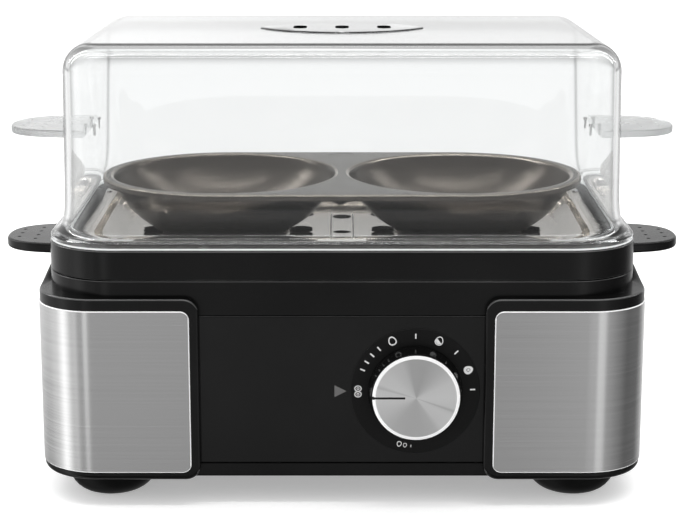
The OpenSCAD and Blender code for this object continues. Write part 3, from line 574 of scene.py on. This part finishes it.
for side, word in ((-1, "left"), (1, "right")):
    shell = band(f"{word}_cheek_shell", side, (0.35, 4.3), 55.2, (FOOT_H, CHEEK_TOP), 6.0, (2.2, 0.9),
                 "black_plastic", BLACK, [f"{word}_cheek"], rise=True)
    paint_edge_highlight(shell, (BODY_W / 2 - CHEEK_R, BODY_D / 2 - CHEEK_R), CHEEK_R)
    steel = band(f"{word}_steel_skin", side, (0.0, 1.3), STEEL_X0, (STEEL_Z0, STEEL_Z1), STEEL_R,
                 (0.4, 0.4), "brushed_steel", STEEL, [f"{word}_steel_panel"])
    # Painted highlight on the steel's edges and its small corner faces
    steel.data.materials.append(STEEL_EDGE_HIGHLIGHT)
    for face in steel.data.polygons:
        c = Vector(face.center) / MM
        near_edge = (c.z < STEEL_Z0 + 0.35 or c.z > STEEL_Z1 - 0.35 or abs(c.x) < STEEL_X0 + 0.35)
        by_corner = abs(c.x) < STEEL_X0 + 3.4 and not STEEL_Z0 + 3.2 < c.z < STEEL_Z1 - 3.2
        if near_edge or (by_corner and face.area < 1.2e-6):
            face.material_index = 1

housing = swept_ring("housing_shell", rounded_profile([
    (4, 11.6, 0.8), (4, NECK_TOP, 0.5), (7.3, NECK_TOP, 0.2), (7.3, NECK_TOP + 3.5, 0.6),
    (9.5, NECK_TOP + 3.5, 0.6), (9.5, NECK_TOP, 0.2), (14.5, NECK_TOP, 0.3), (14.5, 88.2, 0),
    (17.8, 88.2, 0), (17.8, 86, 0), (6.6, 86, 0), (6.6, 11.6, 0)]),
    "base", "black_plastic", BLACK, ["housing"])
paint_edge_highlight(housing, CORE_MIDDLE, CORE_R)
PANEL_GAP = 0.25
panel_seat = box_tool((-PANEL_W / 2 - PANEL_GAP, FRONT_Y - 1, PANEL_Z0 - PANEL_GAP),
                      (PANEL_W / 2 + PANEL_GAP, FRONT_Y + 2.4, PANEL_Z1 + PANEL_GAP))
gland_hole = strip([[(GLAND_X + GLAND_HOLE_R * math.cos(a), y, GLAND_Z + GLAND_HOLE_R * math.sin(a))
                     for a in (2 * math.pi * i / 40 for i in range(40))] for y in (70, 90)], cap=True)
cut(housing, [panel_seat, gland_hole])


def plate(name, w, z0, z1, y, thick, fillet, body, slot, material, replaces):
    """Upright plate facing the front, with a rounded front edge."""
    rows = [(0.0, y + thick)]
    for k in range(5):
        a = math.pi / 2 * k / 4
        rows.append((fillet * (1 - math.cos(a)), y + fillet * (1 - math.sin(a))))
    zc, h, r = (z0 + z1) / 2, (z1 - z0) / 2, 1.2
    loops = []
    for o, yy in rows:
        loop = []
        for sx, sz, a in QUADRANTS:
            corner = arc(sx * (w / 2 - r), zc + sz * (h - r), r - o, a, a + 90, 6)
            loop += [(px, yy, pz) for px, pz in corner]
        loops.append(loop)
    v, f = strip(loops, cap=True)
    return mesh_object(name, v, f, body, slot, material, replaces, 50)


plate("gloss_panel", PANEL_W, PANEL_Z0, PANEL_Z1, FRONT_Y - 0.15, 2.2, 0.55, "base", "gloss_black",
      GLOSS, ["front_panel"])

# Feet: soft domes under each corner
for node_name in ("front_left_foot", "front_right_foot", "rear_left_foot", "rear_right_foot"):
    lo, hi = box_mm(node_name)
    c = ((lo.x + hi.x) / 2, (lo.y + hi.y) / 2)
    dome = [(8.4 + 9.6 * math.sin(math.radians(a)), 0.35 + 10.4 * (1 - math.cos(math.radians(a))))
            for a in range(0, 82, 9)]
    flare = [(18.3, 10.1), (19.0, 10.8), (20.0, 11.2), (21.0, 11.3), (21.0, 13.0)]
    lathe(f"{node_name}_dome", [(7.4, 0.9), (7.9, 0.45)] + dome + flare,
          Matrix.Translation((c[0], c[1], 0)), "base", "black_plastic", FOOT, [node_name], n=72)

# ------------------------------------------------------------------ control
dial_box = box_mm("dial_disc")
DIAL_R = (dial_box[1].x - dial_box[0].x) / 2
lathe("dial_face", rounded_profile([(0.01, 0, 0), (DIAL_R, 0, 0), (DIAL_R, 0.6, 0.25), (0.01, 0.6, 0)])[:-1]
      + [(0.01, 0.6)], facing_front(KNOB_X, FRONT_Y, KNOB_Z), "base", "black_plastic", DIAL,
      ["dial_disc"], n=128)

MARK_R = DIAL_R - 2.9


def egg_shape(w, h, n=28):
    """Egg outline, narrow end up."""
    pts = []
    for i in range(n):
        a = 2 * math.pi * i / n
        k = 1 + 0.18 * math.sin(a)
        pts.append((w / 2 * math.cos(a) / k, h / 2 * math.sin(a)))
    return pts


def print_shape(outer, inner, angle, offset=(0, 0)):
    """One printed mark, turned to stand on the dial: a fill, or a ring where inner is given."""
    a = math.radians(angle)
    c, s = math.cos(a - math.pi / 2), math.sin(a - math.pi / 2)

    def put(p, y):
        px, pz = p[0] + offset[0], p[1] + offset[1] + MARK_R
        return (KNOB_X + px * c - pz * s, y, KNOB_Z + px * s + pz * c)
    y0, y1 = FRONT_Y - 0.59, FRONT_Y - 0.7
    if inner is None:
        return strip([[put(p, y) for p in outer] for y in (y0, y1)], cap=True)
    return strip([[put(p, y0) for p in outer], [put(p, y1) for p in outer],
                  [put(p, y1) for p in inner], [put(p, y0) for p in inner]], around=True)


def scaled(pts, k):
    return [(x * k, y * k) for x, y in pts]


def oval(w, h, n=28):
    return [(w / 2 * math.cos(2 * math.pi * i / n), h / 2 * math.sin(2 * math.pi * i / n))
            for i in range(n)]


# Marks by angle round the dial in degrees, 0 to the right and 90 at the top
marks = []
TICK = [(-0.27, -1.0), (0.27, -1.0), (0.27, 1.0), (-0.27, 1.0)]
for a in (157, 148, 139, 129.5, 90, 45, 2):
    marks.append(print_shape(TICK, None, a))
EGG = egg_shape(3.2, 3.7)
marks.append(print_shape(EGG, scaled(EGG, 0.72), 114))
marks.append(print_shape(EGG, scaled(EGG, 0.8), 66))
marks.append(print_shape(arc(0, 0, 1.35, 150, 330, 16), None, 66))
marks.append(print_shape(EGG, scaled(EGG, 0.42), 23))
marks.append(print_shape(scaled(EGG, 0.3), None, 23))
for dx in (-1.15, 1.15):
    marks.append(print_shape(oval(2.5, 2.9), oval(1.8, 2.1), 180, (dx, 0)))
    marks.append(print_shape(oval(1.0, 1.1), oval(0.5, 0.6), 180, (dx, 0)))
SMALL = egg_shape(1.9, 2.3)
marks.append(print_shape(SMALL, scaled(SMALL, 0.7), 254))
marks.append(print_shape(scaled(SMALL, 0.8), scaled(SMALL, 0.55), 260))
marks.append(print_shape(scaled(TICK, 0.5), None, 266))
mesh_object("dial_print", *joined(marks), "base", "print_white", PRINT, ["dial_marks"], 30)

bevel(frame["nodes"]["pilot_lens"], 0.2, 2)

CAP_Y = box_mm("knob_cap")[0].y
SKIRT_Y = box_mm("knob_skirt")[1].y
skirt_l = SKIRT_Y - CAP_Y - 0.9
lathe("knob_side", [(4, 0.4), (KNOB_R - 0.4, 0.4), (KNOB_R + 1.3, 0), (KNOB_R + 1.7, 0.35),
                    (KNOB_R + 1.65, 1.2), (KNOB_R + 0.6, skirt_l - 0.6), (KNOB_R + 0.35, skirt_l - 0.1),
                    (KNOB_R - 0.2, skirt_l), (4, skirt_l)],
      facing_front(KNOB_X, SKIRT_Y, KNOB_Z), "knob", "black_plastic", KNOB_SIDE, ["knob_skirt"], 30, 160)
cap_profile = [(0.02, 0.0), (KNOB_R - 0.3, 0.0), (KNOB_R, 0.15), (KNOB_R, 0.4),
               (KNOB_R - 0.75, 0.86), (KNOB_R - 1.0, 0.9), (KNOB_R - 1.25, 0.78), (0.02, 0.78)]
cap = lathe("knob_face", cap_profile, facing_front(KNOB_X, CAP_Y + 0.9, KNOB_Z), "knob",
            "knob_aluminium", KNOB_FACE, ["knob_cap"], 25, 160)
cut(cap, [box_tool((KNOB_X - KNOB_R + 0.3, CAP_Y - 1, KNOB_Z - 0.42),
                   (KNOB_X - KNOB_R * 0.25, CAP_Y + 0.5, KNOB_Z + 0.42))])
cap.data.materials.append(KNOB_EDGE_HIGHLIGHT)
groove = plastic("pointer groove", 0.004, 0.008, (0.5, 0.6), grain=0.02)
cap.data.materials.append(groove)
for p in cap.data.polygons:
    c = Vector(p.center) / MM
    r = math.hypot(c.x - KNOB_X, c.z - KNOB_Z)
    # The outer ring gets the painted highlight
    if r > KNOB_R - 1.15:
        p.material_index = 1
    if abs(c.z - KNOB_Z) < 0.43 and c.x < KNOB_X - 4 and r < KNOB_R - 0.2 and c.y > CAP_Y + 0.2:
        p.material_index = 2

# ------------------------------------------------------------------ rear
REAR_Y = -FRONT_Y
gland = [(3.55, -9), (5.5, -9), (5.5, 0.01), (7.4, 0.01), (7.9, 0.5), (7.9, 2.4), (7.4, 3.0),
         (5.4, 3.0)]
for i in range(3):
    y = 3.6 + i * 2.0
    rib, dip = 5.2 - 0.15 * i, 4.7 - 0.1 * i
    gland += [(rib, y), (rib, y + 1.2), (dip, y + 1.35), (dip, y + 1.75)]
gland += [(4.4, 9.4), (4.0, 9.6), (3.55, 9.6)]
to_the_rear = Matrix.Translation((GLAND_X, REAR_Y, GLAND_Z)) @ Matrix.Rotation(math.radians(-90), 4, "X")
lathe("gland_sleeve", gland, to_the_rear, "base", "rubber_black", RUBBER, ["cord_gland"], 30, 48, closed=True)

# ------------------------------------------------------------------ carrier
carrier_band = swept_ring("carrier_band", rounded_profile([
    (4, RING_Z, 0.6), (4, RING_TOP, 0.8), (16.5, RING_TOP, 0.5), (16.5, RING_Z + 0.5, 0),
    (14.5, RING_Z + 0.5, 0), (14.5, RING_TOP - 2.5, 0), (7, RING_TOP - 2.5, 0), (7, RING_Z, 0.3)]),
    "carrier", "black_plastic", BLACK, ["carrier_ring"])
paint_edge_highlight(carrier_band, CORE_MIDDLE, CORE_R)


def paddle(length, width, n=36):
    """Plan of a handle, full width at its root and round at its tip."""
    pts = []
    for i in range(n + 1):
        t = 1 - (1 - i / n) ** 1.6
        pts.append((length * t, -width / 2 * (1 - t ** 3.2) ** 0.42 * (1 - 0.12 * t)))
    return pts + [(x, -y) for x, y in reversed(pts[:-1])]


def handle(name, side, x0, length, width, z0, z1, edge, body, slot, material, replaces, extra=()):
    plan = paddle(length, width)
    rows = []
    steps = 5
    for k in range(steps + 1):
        a = math.pi / 2 * k / steps
        rows.append((edge * (1 - math.sin(a)), z0 + edge * (1 - math.cos(a))))
    rows += [(o, z1 - (z - z0)) for o, z in reversed(rows)]
    cx = length * 0.35
    loops = []
    for o, z in rows:
        loop = []
        for x, y in plan:
            v = Vector((x - cx, y))
            k = 1 - o / max(v.length, 1e-3)
            loop.append((side * (x0 + max(cx + v.x * k, 0.0)), v.y * k, z))
        loops.append(loop)
    v, f = strip(loops, cap=True)
    ob = mesh_object(name, v, f, body, slot, material, replaces, 50)
    holes = []
    for share, count in ((0.2, 4), (0.5, 4), (0.78, 3)):
        for i in range(count):
            y = (i - (count - 1) / 2) * width * 0.17
            holes.append(cylinder_tool(side * (x0 + length * share), y, z1 - 0.55, z1 + 0.5, 0.62, 16, 1.0))
    cut(ob, holes)
    for v, f in extra:
        cut(ob, [(v, f)], "UNION")
    return ob


def root_pad(side):
    """Rounded pad where a carrier handle meets the ring."""
    x0, half_w, half_h, r = 116, 25.5, 2.25, 3
    loop = []
    for i in range(32):
        t = 2 * math.pi * i / 32 + 0.0001
        y = half_w - r if math.cos(t) > -1e-9 else r - half_w
        z = half_h if math.sin(t) > -1e-9 else -half_h
        loop.append((y + r * math.cos(t), z + r * math.sin(t) + (RING_Z + RING_TOP) / 2))
    return strip([[(side * x, y, z) for y, z in loop] for x in (x0 - 0.05, x0 + 1.9)], cap=True)


for side, word in ((-1, "left"), (1, "right")):
    handle(f"{word}_carrier_grip", side, 116.2, 26.6, 43, 88.4, 92.6, 1.1, "carrier", "black_plastic",
           BLACK, [f"{word}_carrier_handle"], [root_pad(side)])

# Tray: dished sheet with a ledge, pressed strips and steam holes
tray_profile = rounded_profile([
    (26, TRAY_Z - 0.8, 0), (19.9, TRAY_Z + 1.6, 1.2),
    (18.6, TRAY_Z + 1.9, 1.0), (17.8, RING_TOP - 1, 0.8), (16.6, RING_TOP, 0.6),
    (13.5, RING_TOP, 0.2), (13.5, RING_TOP + 0.8, 0.4), (17.2, RING_TOP + 0.8, 1.0),
    (18.3, RING_TOP - 0.6, 0.8), (19.2, TRAY_Z + 2.9, 1.0), (20.4, TRAY_Z + 2.5, 1.2),
    (26.4, TRAY_Z, 0)], 4)
start = min(range(len(tray_profile)),
            key=lambda i: abs(tray_profile[i][0] - 26) + abs(tray_profile[i][1] - TRAY_Z + 0.8))
tray_profile = tray_profile[start:] + tray_profile[:start]
loops = [section(a, z) for a, z in tray_profile]
v, f = strip(loops, cap=True)
tray = mesh_object("tray_sheet", v, f, "carrier", "tray_steel", TRAY_STEEL, ["steel_tray"], 35)


def mound(cx, cy, w, l, h, r, shoulder):
    """Raised pressing on the tray's floor: a low rounded rectangle."""
    loops = []
    rows = ((0, -0.5), (0, 0.02), (shoulder * 0.25, h * 0.5), (shoulder * 0.6, h * 0.9), (shoulder, h))
    for o, z in rows:
        loop = []
        for sx, sy, a in QUADRANTS:
            loop += [(px, py, TRAY_Z + z) for px, py in
                     arc(cx + sx * (w / 2 - r), cy + sy * (l / 2 - r), r - o, a, a + 90, 6)]
        loops.append(loop)
    return strip(loops, cap=True)


pressings = [mound(0, -7, 10, 72, 0.5, 1.6, 0.5)]
for sx in (-1, 1):
    for sy in (-1, 1):
        pressings.append(mound(sx * 33, sy * 50, 7.6, 12, 1.1, 1.6, 0.6))
for pressing in pressings:
    cut(tray, [pressing], "UNION")
# Steam holes: a middle column, two inner and two outer columns
HOLE_R, MIDDLE_HOLE_R = 5.0, 4.0
tools = []
for y in (-35, -7, 21):
    tools.append(cylinder_tool(0, y, TRAY_Z - 2, TRAY_Z + 2, MIDDLE_HOLE_R, 40))
    for s in (-1, 1):
        tools.append(cylinder_tool(s * 17.5, y + 7, TRAY_Z - 2, TRAY_Z + 2, HOLE_R, 40))
for y in (-28, 0, 28):
    for s in (-1, 1):
        tools.append(cylinder_tool(s * 80, y, TRAY_Z - 2, TRAY_Z + 2, HOLE_R, 40))
cut(tray, tools)
# Painted highlight on the slanting sides of the pressings
tray.data.materials.append(STEEL_EDGE_HIGHLIGHT)
for face in tray.data.polygons:
    c = Vector(face.center) / MM
    on_pressing = abs(c.x) < 37.5 and TRAY_Z + 0.03 < c.z < TRAY_Z + 1.05 and abs(c.y) < 57
    if on_pressing and abs(face.normal.z) < 0.98:
        face.material_index = 1

# ------------------------------------------------------------------ pan
PAN_L, PAN_D = 203.0, 103.5
WELL_X, WELL_R, WELL_H = (PAN_L - PAN_D) / 2, 47.0, 22.6
WELL_FLAT, WELL_CURVE = 15.0, 0.34


def pan_mesh():
    """Top skin of the right half: columns round the well, rows from its middle to the lip."""
    half_d = PAN_D / 2
    n = 128
    jump = math.atan2(half_d, WELL_X)
    angles = sorted(set([2 * math.pi * i / n for i in range(n)] + [math.pi - jump, math.pi + jump]))
    bowl = []
    steps = 18
    floor_z = PAN_TOP - WELL_H
    for i in range(1, steps):
        t = (i / steps) ** 2
        bowl.append((WELL_FLAT + (WELL_R - WELL_FLAT) * t ** WELL_CURVE, floor_z + (WELL_H - 1.9) * t))
    bowl = [(0.02, floor_z), (7, floor_z), (WELL_FLAT - 3, floor_z)] + bowl
    rim = [(WELL_R - 0.75, PAN_TOP - 1.9), (WELL_R - 0.35, PAN_TOP - 1.0), (WELL_R, PAN_TOP - 0.5),
           (WELL_R + 0.55, PAN_TOP - 0.12), (WELL_R + 1.2, PAN_TOP)]
    lip = ((-1.5, 0), (-0.7, -0.14), (-0.2, -0.5), (0, -1.1), (0, -2.0), (-0.1, -2.6))
    verts, faces = [], []
    cols = []
    for a in angles:
        c, s = math.cos(a), math.sin(a)
        reach = half_d if c >= 0 else min(half_d / max(abs(s), 1e-6), WELL_X / abs(c))
        inward = c < 0 and WELL_X / max(abs(c), 1e-6) <= half_d / max(abs(s), 1e-6) - 1e-6
        col = []
        for r, z in bowl + rim:
            col.append((WELL_X + r * c, r * s, z))
        if inward:
            col += [(WELL_X + reach * c, reach * s, PAN_TOP)] * len(lip)
        else:
            nx, ny = (c, s) if c >= 0 else (0.0, math.copysign(1, s))
            ex, ey = WELL_X + reach * c, reach * s
            for off, z in lip:
                col.append((ex + nx * off, ey + ny * off, PAN_TOP + z))
        cols.append((inward, [len(verts) + i for i in range(len(col))]))
        verts += col
    for (in0, c0), (in1, c1) in zip(cols, cols[1:] + cols[:1]):
        for i in range(len(c0) - 1):
            if i >= len(bowl + rim) and in0 and in1:
                continue
            faces.append((c0[i], c1[i], c1[i + 1], c0[i + 1]))
    return verts, faces


v, f = pan_mesh()
me = bpy.data.meshes.new("poaching_pan_skin")
me.from_pydata([tuple(c * MM for c in p) for p in v], [], f)
bm = bmesh.new()
bm.from_mesh(me)
bmesh.ops.remove_doubles(bm, verts=bm.verts, dist=2e-6)
bmesh.ops.dissolve_degenerate(bm, edges=bm.edges, dist=1e-7)
other = bmesh.ops.duplicate(bm, geom=bm.verts[:] + bm.edges[:] + bm.faces[:])["geom"]
for e in other:
    if isinstance(e, bmesh.types.BMVert):
        e.co.x = -e.co.x
bmesh.ops.remove_doubles(bm, verts=bm.verts, dist=5e-6)
bmesh.ops.recalc_face_normals(bm, faces=bm.faces)
if sum(p.normal.z for p in bm.faces) < 0:
    bmesh.ops.reverse_faces(bm, faces=bm.faces)
bm.to_mesh(me)
bm.free()
pan = new_object("poaching_pan_skin", me)
solid = pan.modifiers.new("sheet", "SOLIDIFY")
solid.thickness, solid.offset, solid.use_even_offset = 0.9 * MM, -1, True
finish_piece(pan, "pan", PAN, ["poaching_pan"], 60)
pan.data.materials.append(PAN_RIM_HIGHLIGHT)
# The rim's top band gets the painted highlight
for face in pan.data.polygons:
    height = face.center.z / MM
    if PAN_TOP - 0.75 < height < PAN_TOP - 0.03:
        face.material_index = 1


# ------------------------------------------------------------------ lid
LID_T, LID_FILLET, LID_CORNER = 2.2, 11.0, 14.0
RIM_IN, WALL_IN = CORE_IN + 0.4, CORE_IN + 6.7 + 1.2


def lid_sections(o):
    """(inset, z, corner radius) rows of the lid's outer skin, or of the skin o inside it."""
    zw = LID_TOP - LID_FILLET
    f = LID_FILLET - o
    rows = [(RIM_IN + o + a, LID_Z + z, corner_radius(RIM_IN + o) - c) for a, z, c in (
        (0.0, 0, 0), (0.0, 0.7, 0), (0.0, 2.0, 0), (0.35, 2.5, 0.1), (0.9, 2.75, 0.3),
        (1.7, 3.1, 0.8), (2.6, 3.7, 1.4), (3.4, 4.6, 2.1), (4.1, 5.8, 3.0), (4.7, 7.4, 4.0),
        (5.2, 9.4, 5.2), (5.7, 12, 6.6), (6.05, 15.5, 8.0), (6.3, 20, 9.0))]
    rows += [(WALL_IN + o, zw - 1.5, LID_CORNER - o + 0.1)]
    for k in range(10):
        a = math.pi / 2 * k / 9
        cut_in = f * (1 - math.cos(a))
        rows.append((WALL_IN + o + cut_in, zw + f * math.sin(a), max(LID_CORNER - o - cut_in, 1.2)))
    return rows


outer = [section(a, z, r) for a, z, r in lid_sections(0.0)]
inner = [section(a, z, r) for a, z, r in lid_sections(LID_T)]
v, f = strip(list(reversed(inner)) + outer, cap=True)
lid = mesh_object("lid_dome", v, f, "lid", "clear_plastic", CLEAR, ["lid_shell"], 50)
lid.data.materials.append(CLEAR_EDGE_HIGHLIGHT)
# The lid's lowest outward faces get the painted highlight
for face in lid.data.polygons:
    c = Vector(face.center) / MM
    if c.z < LID_Z + 0.8 and abs(face.normal.z) < 0.3 and face.normal.dot(Vector((c.x, c.y, 0))) > 0:
        face.material_index = 1

FIELD_L, FIELD_D = 68.0, 42.0
FIELD_R = ((FIELD_L / 2) ** 2 + (FIELD_D / 2) ** 2) / FIELD_D
FIELD_ARC = math.degrees(math.asin(FIELD_L / 2 / FIELD_R))


def field_plan(k):
    """Plan of the raised field on the lid: two arcs that meet in points."""
    top = arc(0, FIELD_D / 2 - FIELD_R, FIELD_R, 90 - FIELD_ARC, 90 + FIELD_ARC, 24)
    low = arc(0, FIELD_R - FIELD_D / 2, FIELD_R, 270 - FIELD_ARC, 270 + FIELD_ARC, 24)
    return [(x * k, y * k) for x, y in top[:-1] + low[:-1]]


cut(lid, [strip([[(x, y, LID_TOP + z) for x, y in field_plan(k)]
                 for k, z in ((1, -1.0), (1, 0.3), (0.985, 0.55))], cap=True)], "UNION")
VENT_R, VENT_HALF = 2.8, 3.7
slots = []
for x in (-17.5, 0, 17.5):
    plan = arc(x, VENT_HALF, VENT_R, 0, 180, 12) + arc(x, -VENT_HALF, VENT_R, 180, 360, 12)
    slots.append(strip([[(px, py, z) for px, py in plan] for z in (LID_TOP - 5, LID_TOP + 5)], cap=True))
cut(lid, slots)

LUG_TOP, LUG_X = LID_Z + 37.7, BODY_W / 2 - 10.7 + 0.3
for side, word in ((-1, "left"), (1, "right")):
    handle(f"{word}_lid_grip", side, LUG_X, 29.7, 46, LUG_TOP - 3.0, LUG_TOP, 0.7, "lid",
           "clear_plastic", CLEAR_GRAIN, [f"{word}_lid_handle"])

# ------------------------------------------------------------------ floor, light, camera
floor_mesh = bpy.data.meshes.new("floor")
FLOOR = 9.0
floor_mesh.from_pydata([(-FLOOR, -FLOOR, 0), (FLOOR, -FLOOR, 0), (FLOOR, FLOOR, 0), (-FLOOR, FLOOR, 0)],
                       [], [(0, 1, 2, 3)])
floor = new_object("floor", floor_mesh)
mat, nt, bsdf = new_material("pale floor")
bsdf.inputs["Base Color"].default_value = (0.93, 0.93, 0.93, 1)
bsdf.inputs["Roughness"].default_value = 0.9
bsdf.inputs["Specular IOR Level"].default_value = 0.1
bsdf.inputs["Emission Color"].default_value = (1, 1, 1, 1)
bsdf.inputs["Emission Strength"].default_value = 0.36
floor_mesh.materials.append(mat)
floor.visible_glossy = False
floor.visible_transmission = False

world = bpy.data.worlds.new("studio")
bpy.context.scene.world = world
world.use_nodes = True
nt = world.node_tree
nt.nodes.clear()
tc = node(nt, "ShaderNodeTexCoord")
sep = node(nt, "ShaderNodeSeparateXYZ")
nt.links.new(tc.outputs["Generated"], sep.inputs[0])
azimuth = node(nt, "ShaderNodeMath", operation="ARCTAN2")      # 0 is the front, a half turn is behind
forward = node(nt, "ShaderNodeMath", operation="MULTIPLY")
forward.inputs[1].default_value = -1.0
nt.links.new(sep.outputs["Y"], forward.inputs[0])
nt.links.new(sep.outputs["X"], azimuth.inputs[0])
nt.links.new(forward.outputs[0], azimuth.inputs[1])
turn = map_range(nt, azimuth.outputs[0], 0.0, 1.0, -math.pi, math.pi)


def around_ramp(stops):
    """Brightness of the studio walls by azimuth in degrees, negative to the left."""
    return ramp(nt, turn, [((a + 180) / 360, v) for a, v in stops])


upper = around_ramp([(-180, 0.9), (-172, 1.1), (-156, 1.2), (-147, 0.9), (-124, 1.05), (-106, 1.0),
                     (-93, 1.1), (-83, 1.05), (-68, 1.62), (-60, 1.20), (-53, 0.72), (-43, 0.95),
                     (-36, 0.60), (-28, 0.66), (-25, 1.5), (-20, 1.45), (-16, 0.56), (-9, 0.58),
                     (0, 0.46), (7, 0.42), (9, 0.64), (19, 0.64), (24, 1.15), (34, 1.05),
                     (40, 0.56), (60, 0.34), (85, 0.15), (117, 0.16), (134, 0.5), (148, 0.9),
                     (164, 0.90), (180, 0.9)])
lower = around_ramp([(-180, 0.50), (-147, 0.36), (-124, 0.12), (-106, 0.22), (-93, 0.46),
                     (-83, 0.80), (-68, 1.60), (-58, 1.10), (-50, 0.62), (-43, 0.80), (-36, 0.42),
                     (-28, 0.36), (-18, 0.36), (-9.2, 0.44), (0, 0.42), (7, 0.42), (9, 0.6),
                     (19, 0.6), (26, 0.78), (34, 0.70), (42, 0.42), (60, 0.28), (85, 0.12),
                     (117, 0.14), (134, 0.3), (150, 0.4), (180, 0.5)])
rise = map_range(nt, sep.outputs["Z"], 0.0, 1.0, -0.36, -0.22)
walls = mix(nt, rise, lower, upper)
frontness = around_ramp([(-180, 0), (-75, 0), (-45, 1), (45, 1), (75, 0), (180, 0)])
height = map_range(nt, sep.outputs["Z"], 0.0, 1.0, -1.0, 1.0)
by_height = ramp(nt, height,
                 [(0.0, 0.10), (0.20, 0.22), (0.31, 0.95), (0.34, 1.2), (0.39, 1.2), (0.43, 0.68),
                  (0.75, 0.5)])
# What the surfaces reflect: the walls, shaped by height round the front, under a white ceiling
shaped = mix(nt, frontness, walls, by_height, blend="MULTIPLY")
zenith = map_range(nt, sep.outputs["Z"], 0.0, 1.0, 0.6, 0.85)
reflected = mix(nt, zenith, shaped, (1.05, 1.05, 1.05, 1))
# What is seen through the clear plastic
through_height = ramp(nt, height,
                      [(0.0, 1.08), (0.452, 1.08), (0.472, 0.55), (0.49, 0.5), (0.51, 0.95),
                       (0.56, 0.95), (0.62, 0.62), (0.78, 0.42), (1.0, 0.7)])
through_turn = around_ramp([(-180, 1.0), (-166, 1.0), (-161, 0.5), (-152, 0.62), (-140, 0.98),
                            (-122, 0.78), (-95, 1.0), (-60, 0.85), (0, 0.95), (60, 0.85), (95, 1.0),
                            (122, 0.78), (140, 0.98), (152, 0.62), (161, 0.5), (166, 1.0),
                            (180, 1.0)])
refracted = mix(nt, 1.0, through_height, through_turn, blend="MULTIPLY")
path = node(nt, "ShaderNodeLightPath").outputs
seen = mix(nt, path["Is Transmission Ray"], reflected, refracted)
lit = mix(nt, path["Is Diffuse Ray"], seen, (0.86, 0.86, 0.86, 1))
pick = mix(nt, path["Is Camera Ray"], lit, (1, 1, 1, 1))
bg = node(nt, "ShaderNodeBackground")
out = node(nt, "ShaderNodeOutputWorld")
nt.links.new(pick, bg.inputs["Color"])
nt.links.new(bg.outputs[0], out.inputs[0])


def area_light(name, where, size, energy):
    """Lamp that faces the middle of the cooker and isn't seen itself."""
    data = bpy.data.lights.new(name, "AREA")
    data.shape, data.size, data.size_y, data.energy = "RECTANGLE", size[0], size[1], energy
    ob = new_object(name, data)
    ob.location = where
    ob.rotation_mode = "QUATERNION"
    ob.rotation_quaternion = (Vector(where) - LIGHT_TARGET).to_track_quat("Z", "Y")
    ob.visible_camera = False


LIGHT_TARGET = Vector((0, 0, 0.08))
area_light("overhead", (0.1, 0.1, 1.5), (1.6, 1.2), 5.0)
area_light("front_strip", (0, -0.35, 1.35), (1.8, 0.07), 4.0)
area_light("left_strip", (-1.0, 0.35, 1.0), (0.07, 1.2), 5.0)
area_light("right_strip", (1.0, 0.35, 1.0), (0.07, 1.2), 3.0)

# Fitted to points read from the photograph
PITCH = 11.96
cam_data = bpy.data.cameras.new("camera")
camera = new_object("camera", cam_data)
bpy.context.scene.camera = camera
cam_data.sensor_width = 36.0
cam_data.lens = 90.40
cam_data.shift_x = -0.003
cam_data.shift_y = -0.05
camera.location = (0, -0.7154, 0.2484)
camera.rotation_euler = (math.radians(90 - PITCH), 0, 0)
cam_data.clip_start, cam_data.clip_end = 0.01, 50
bpy.context.scene.view_settings.view_transform = "Standard"
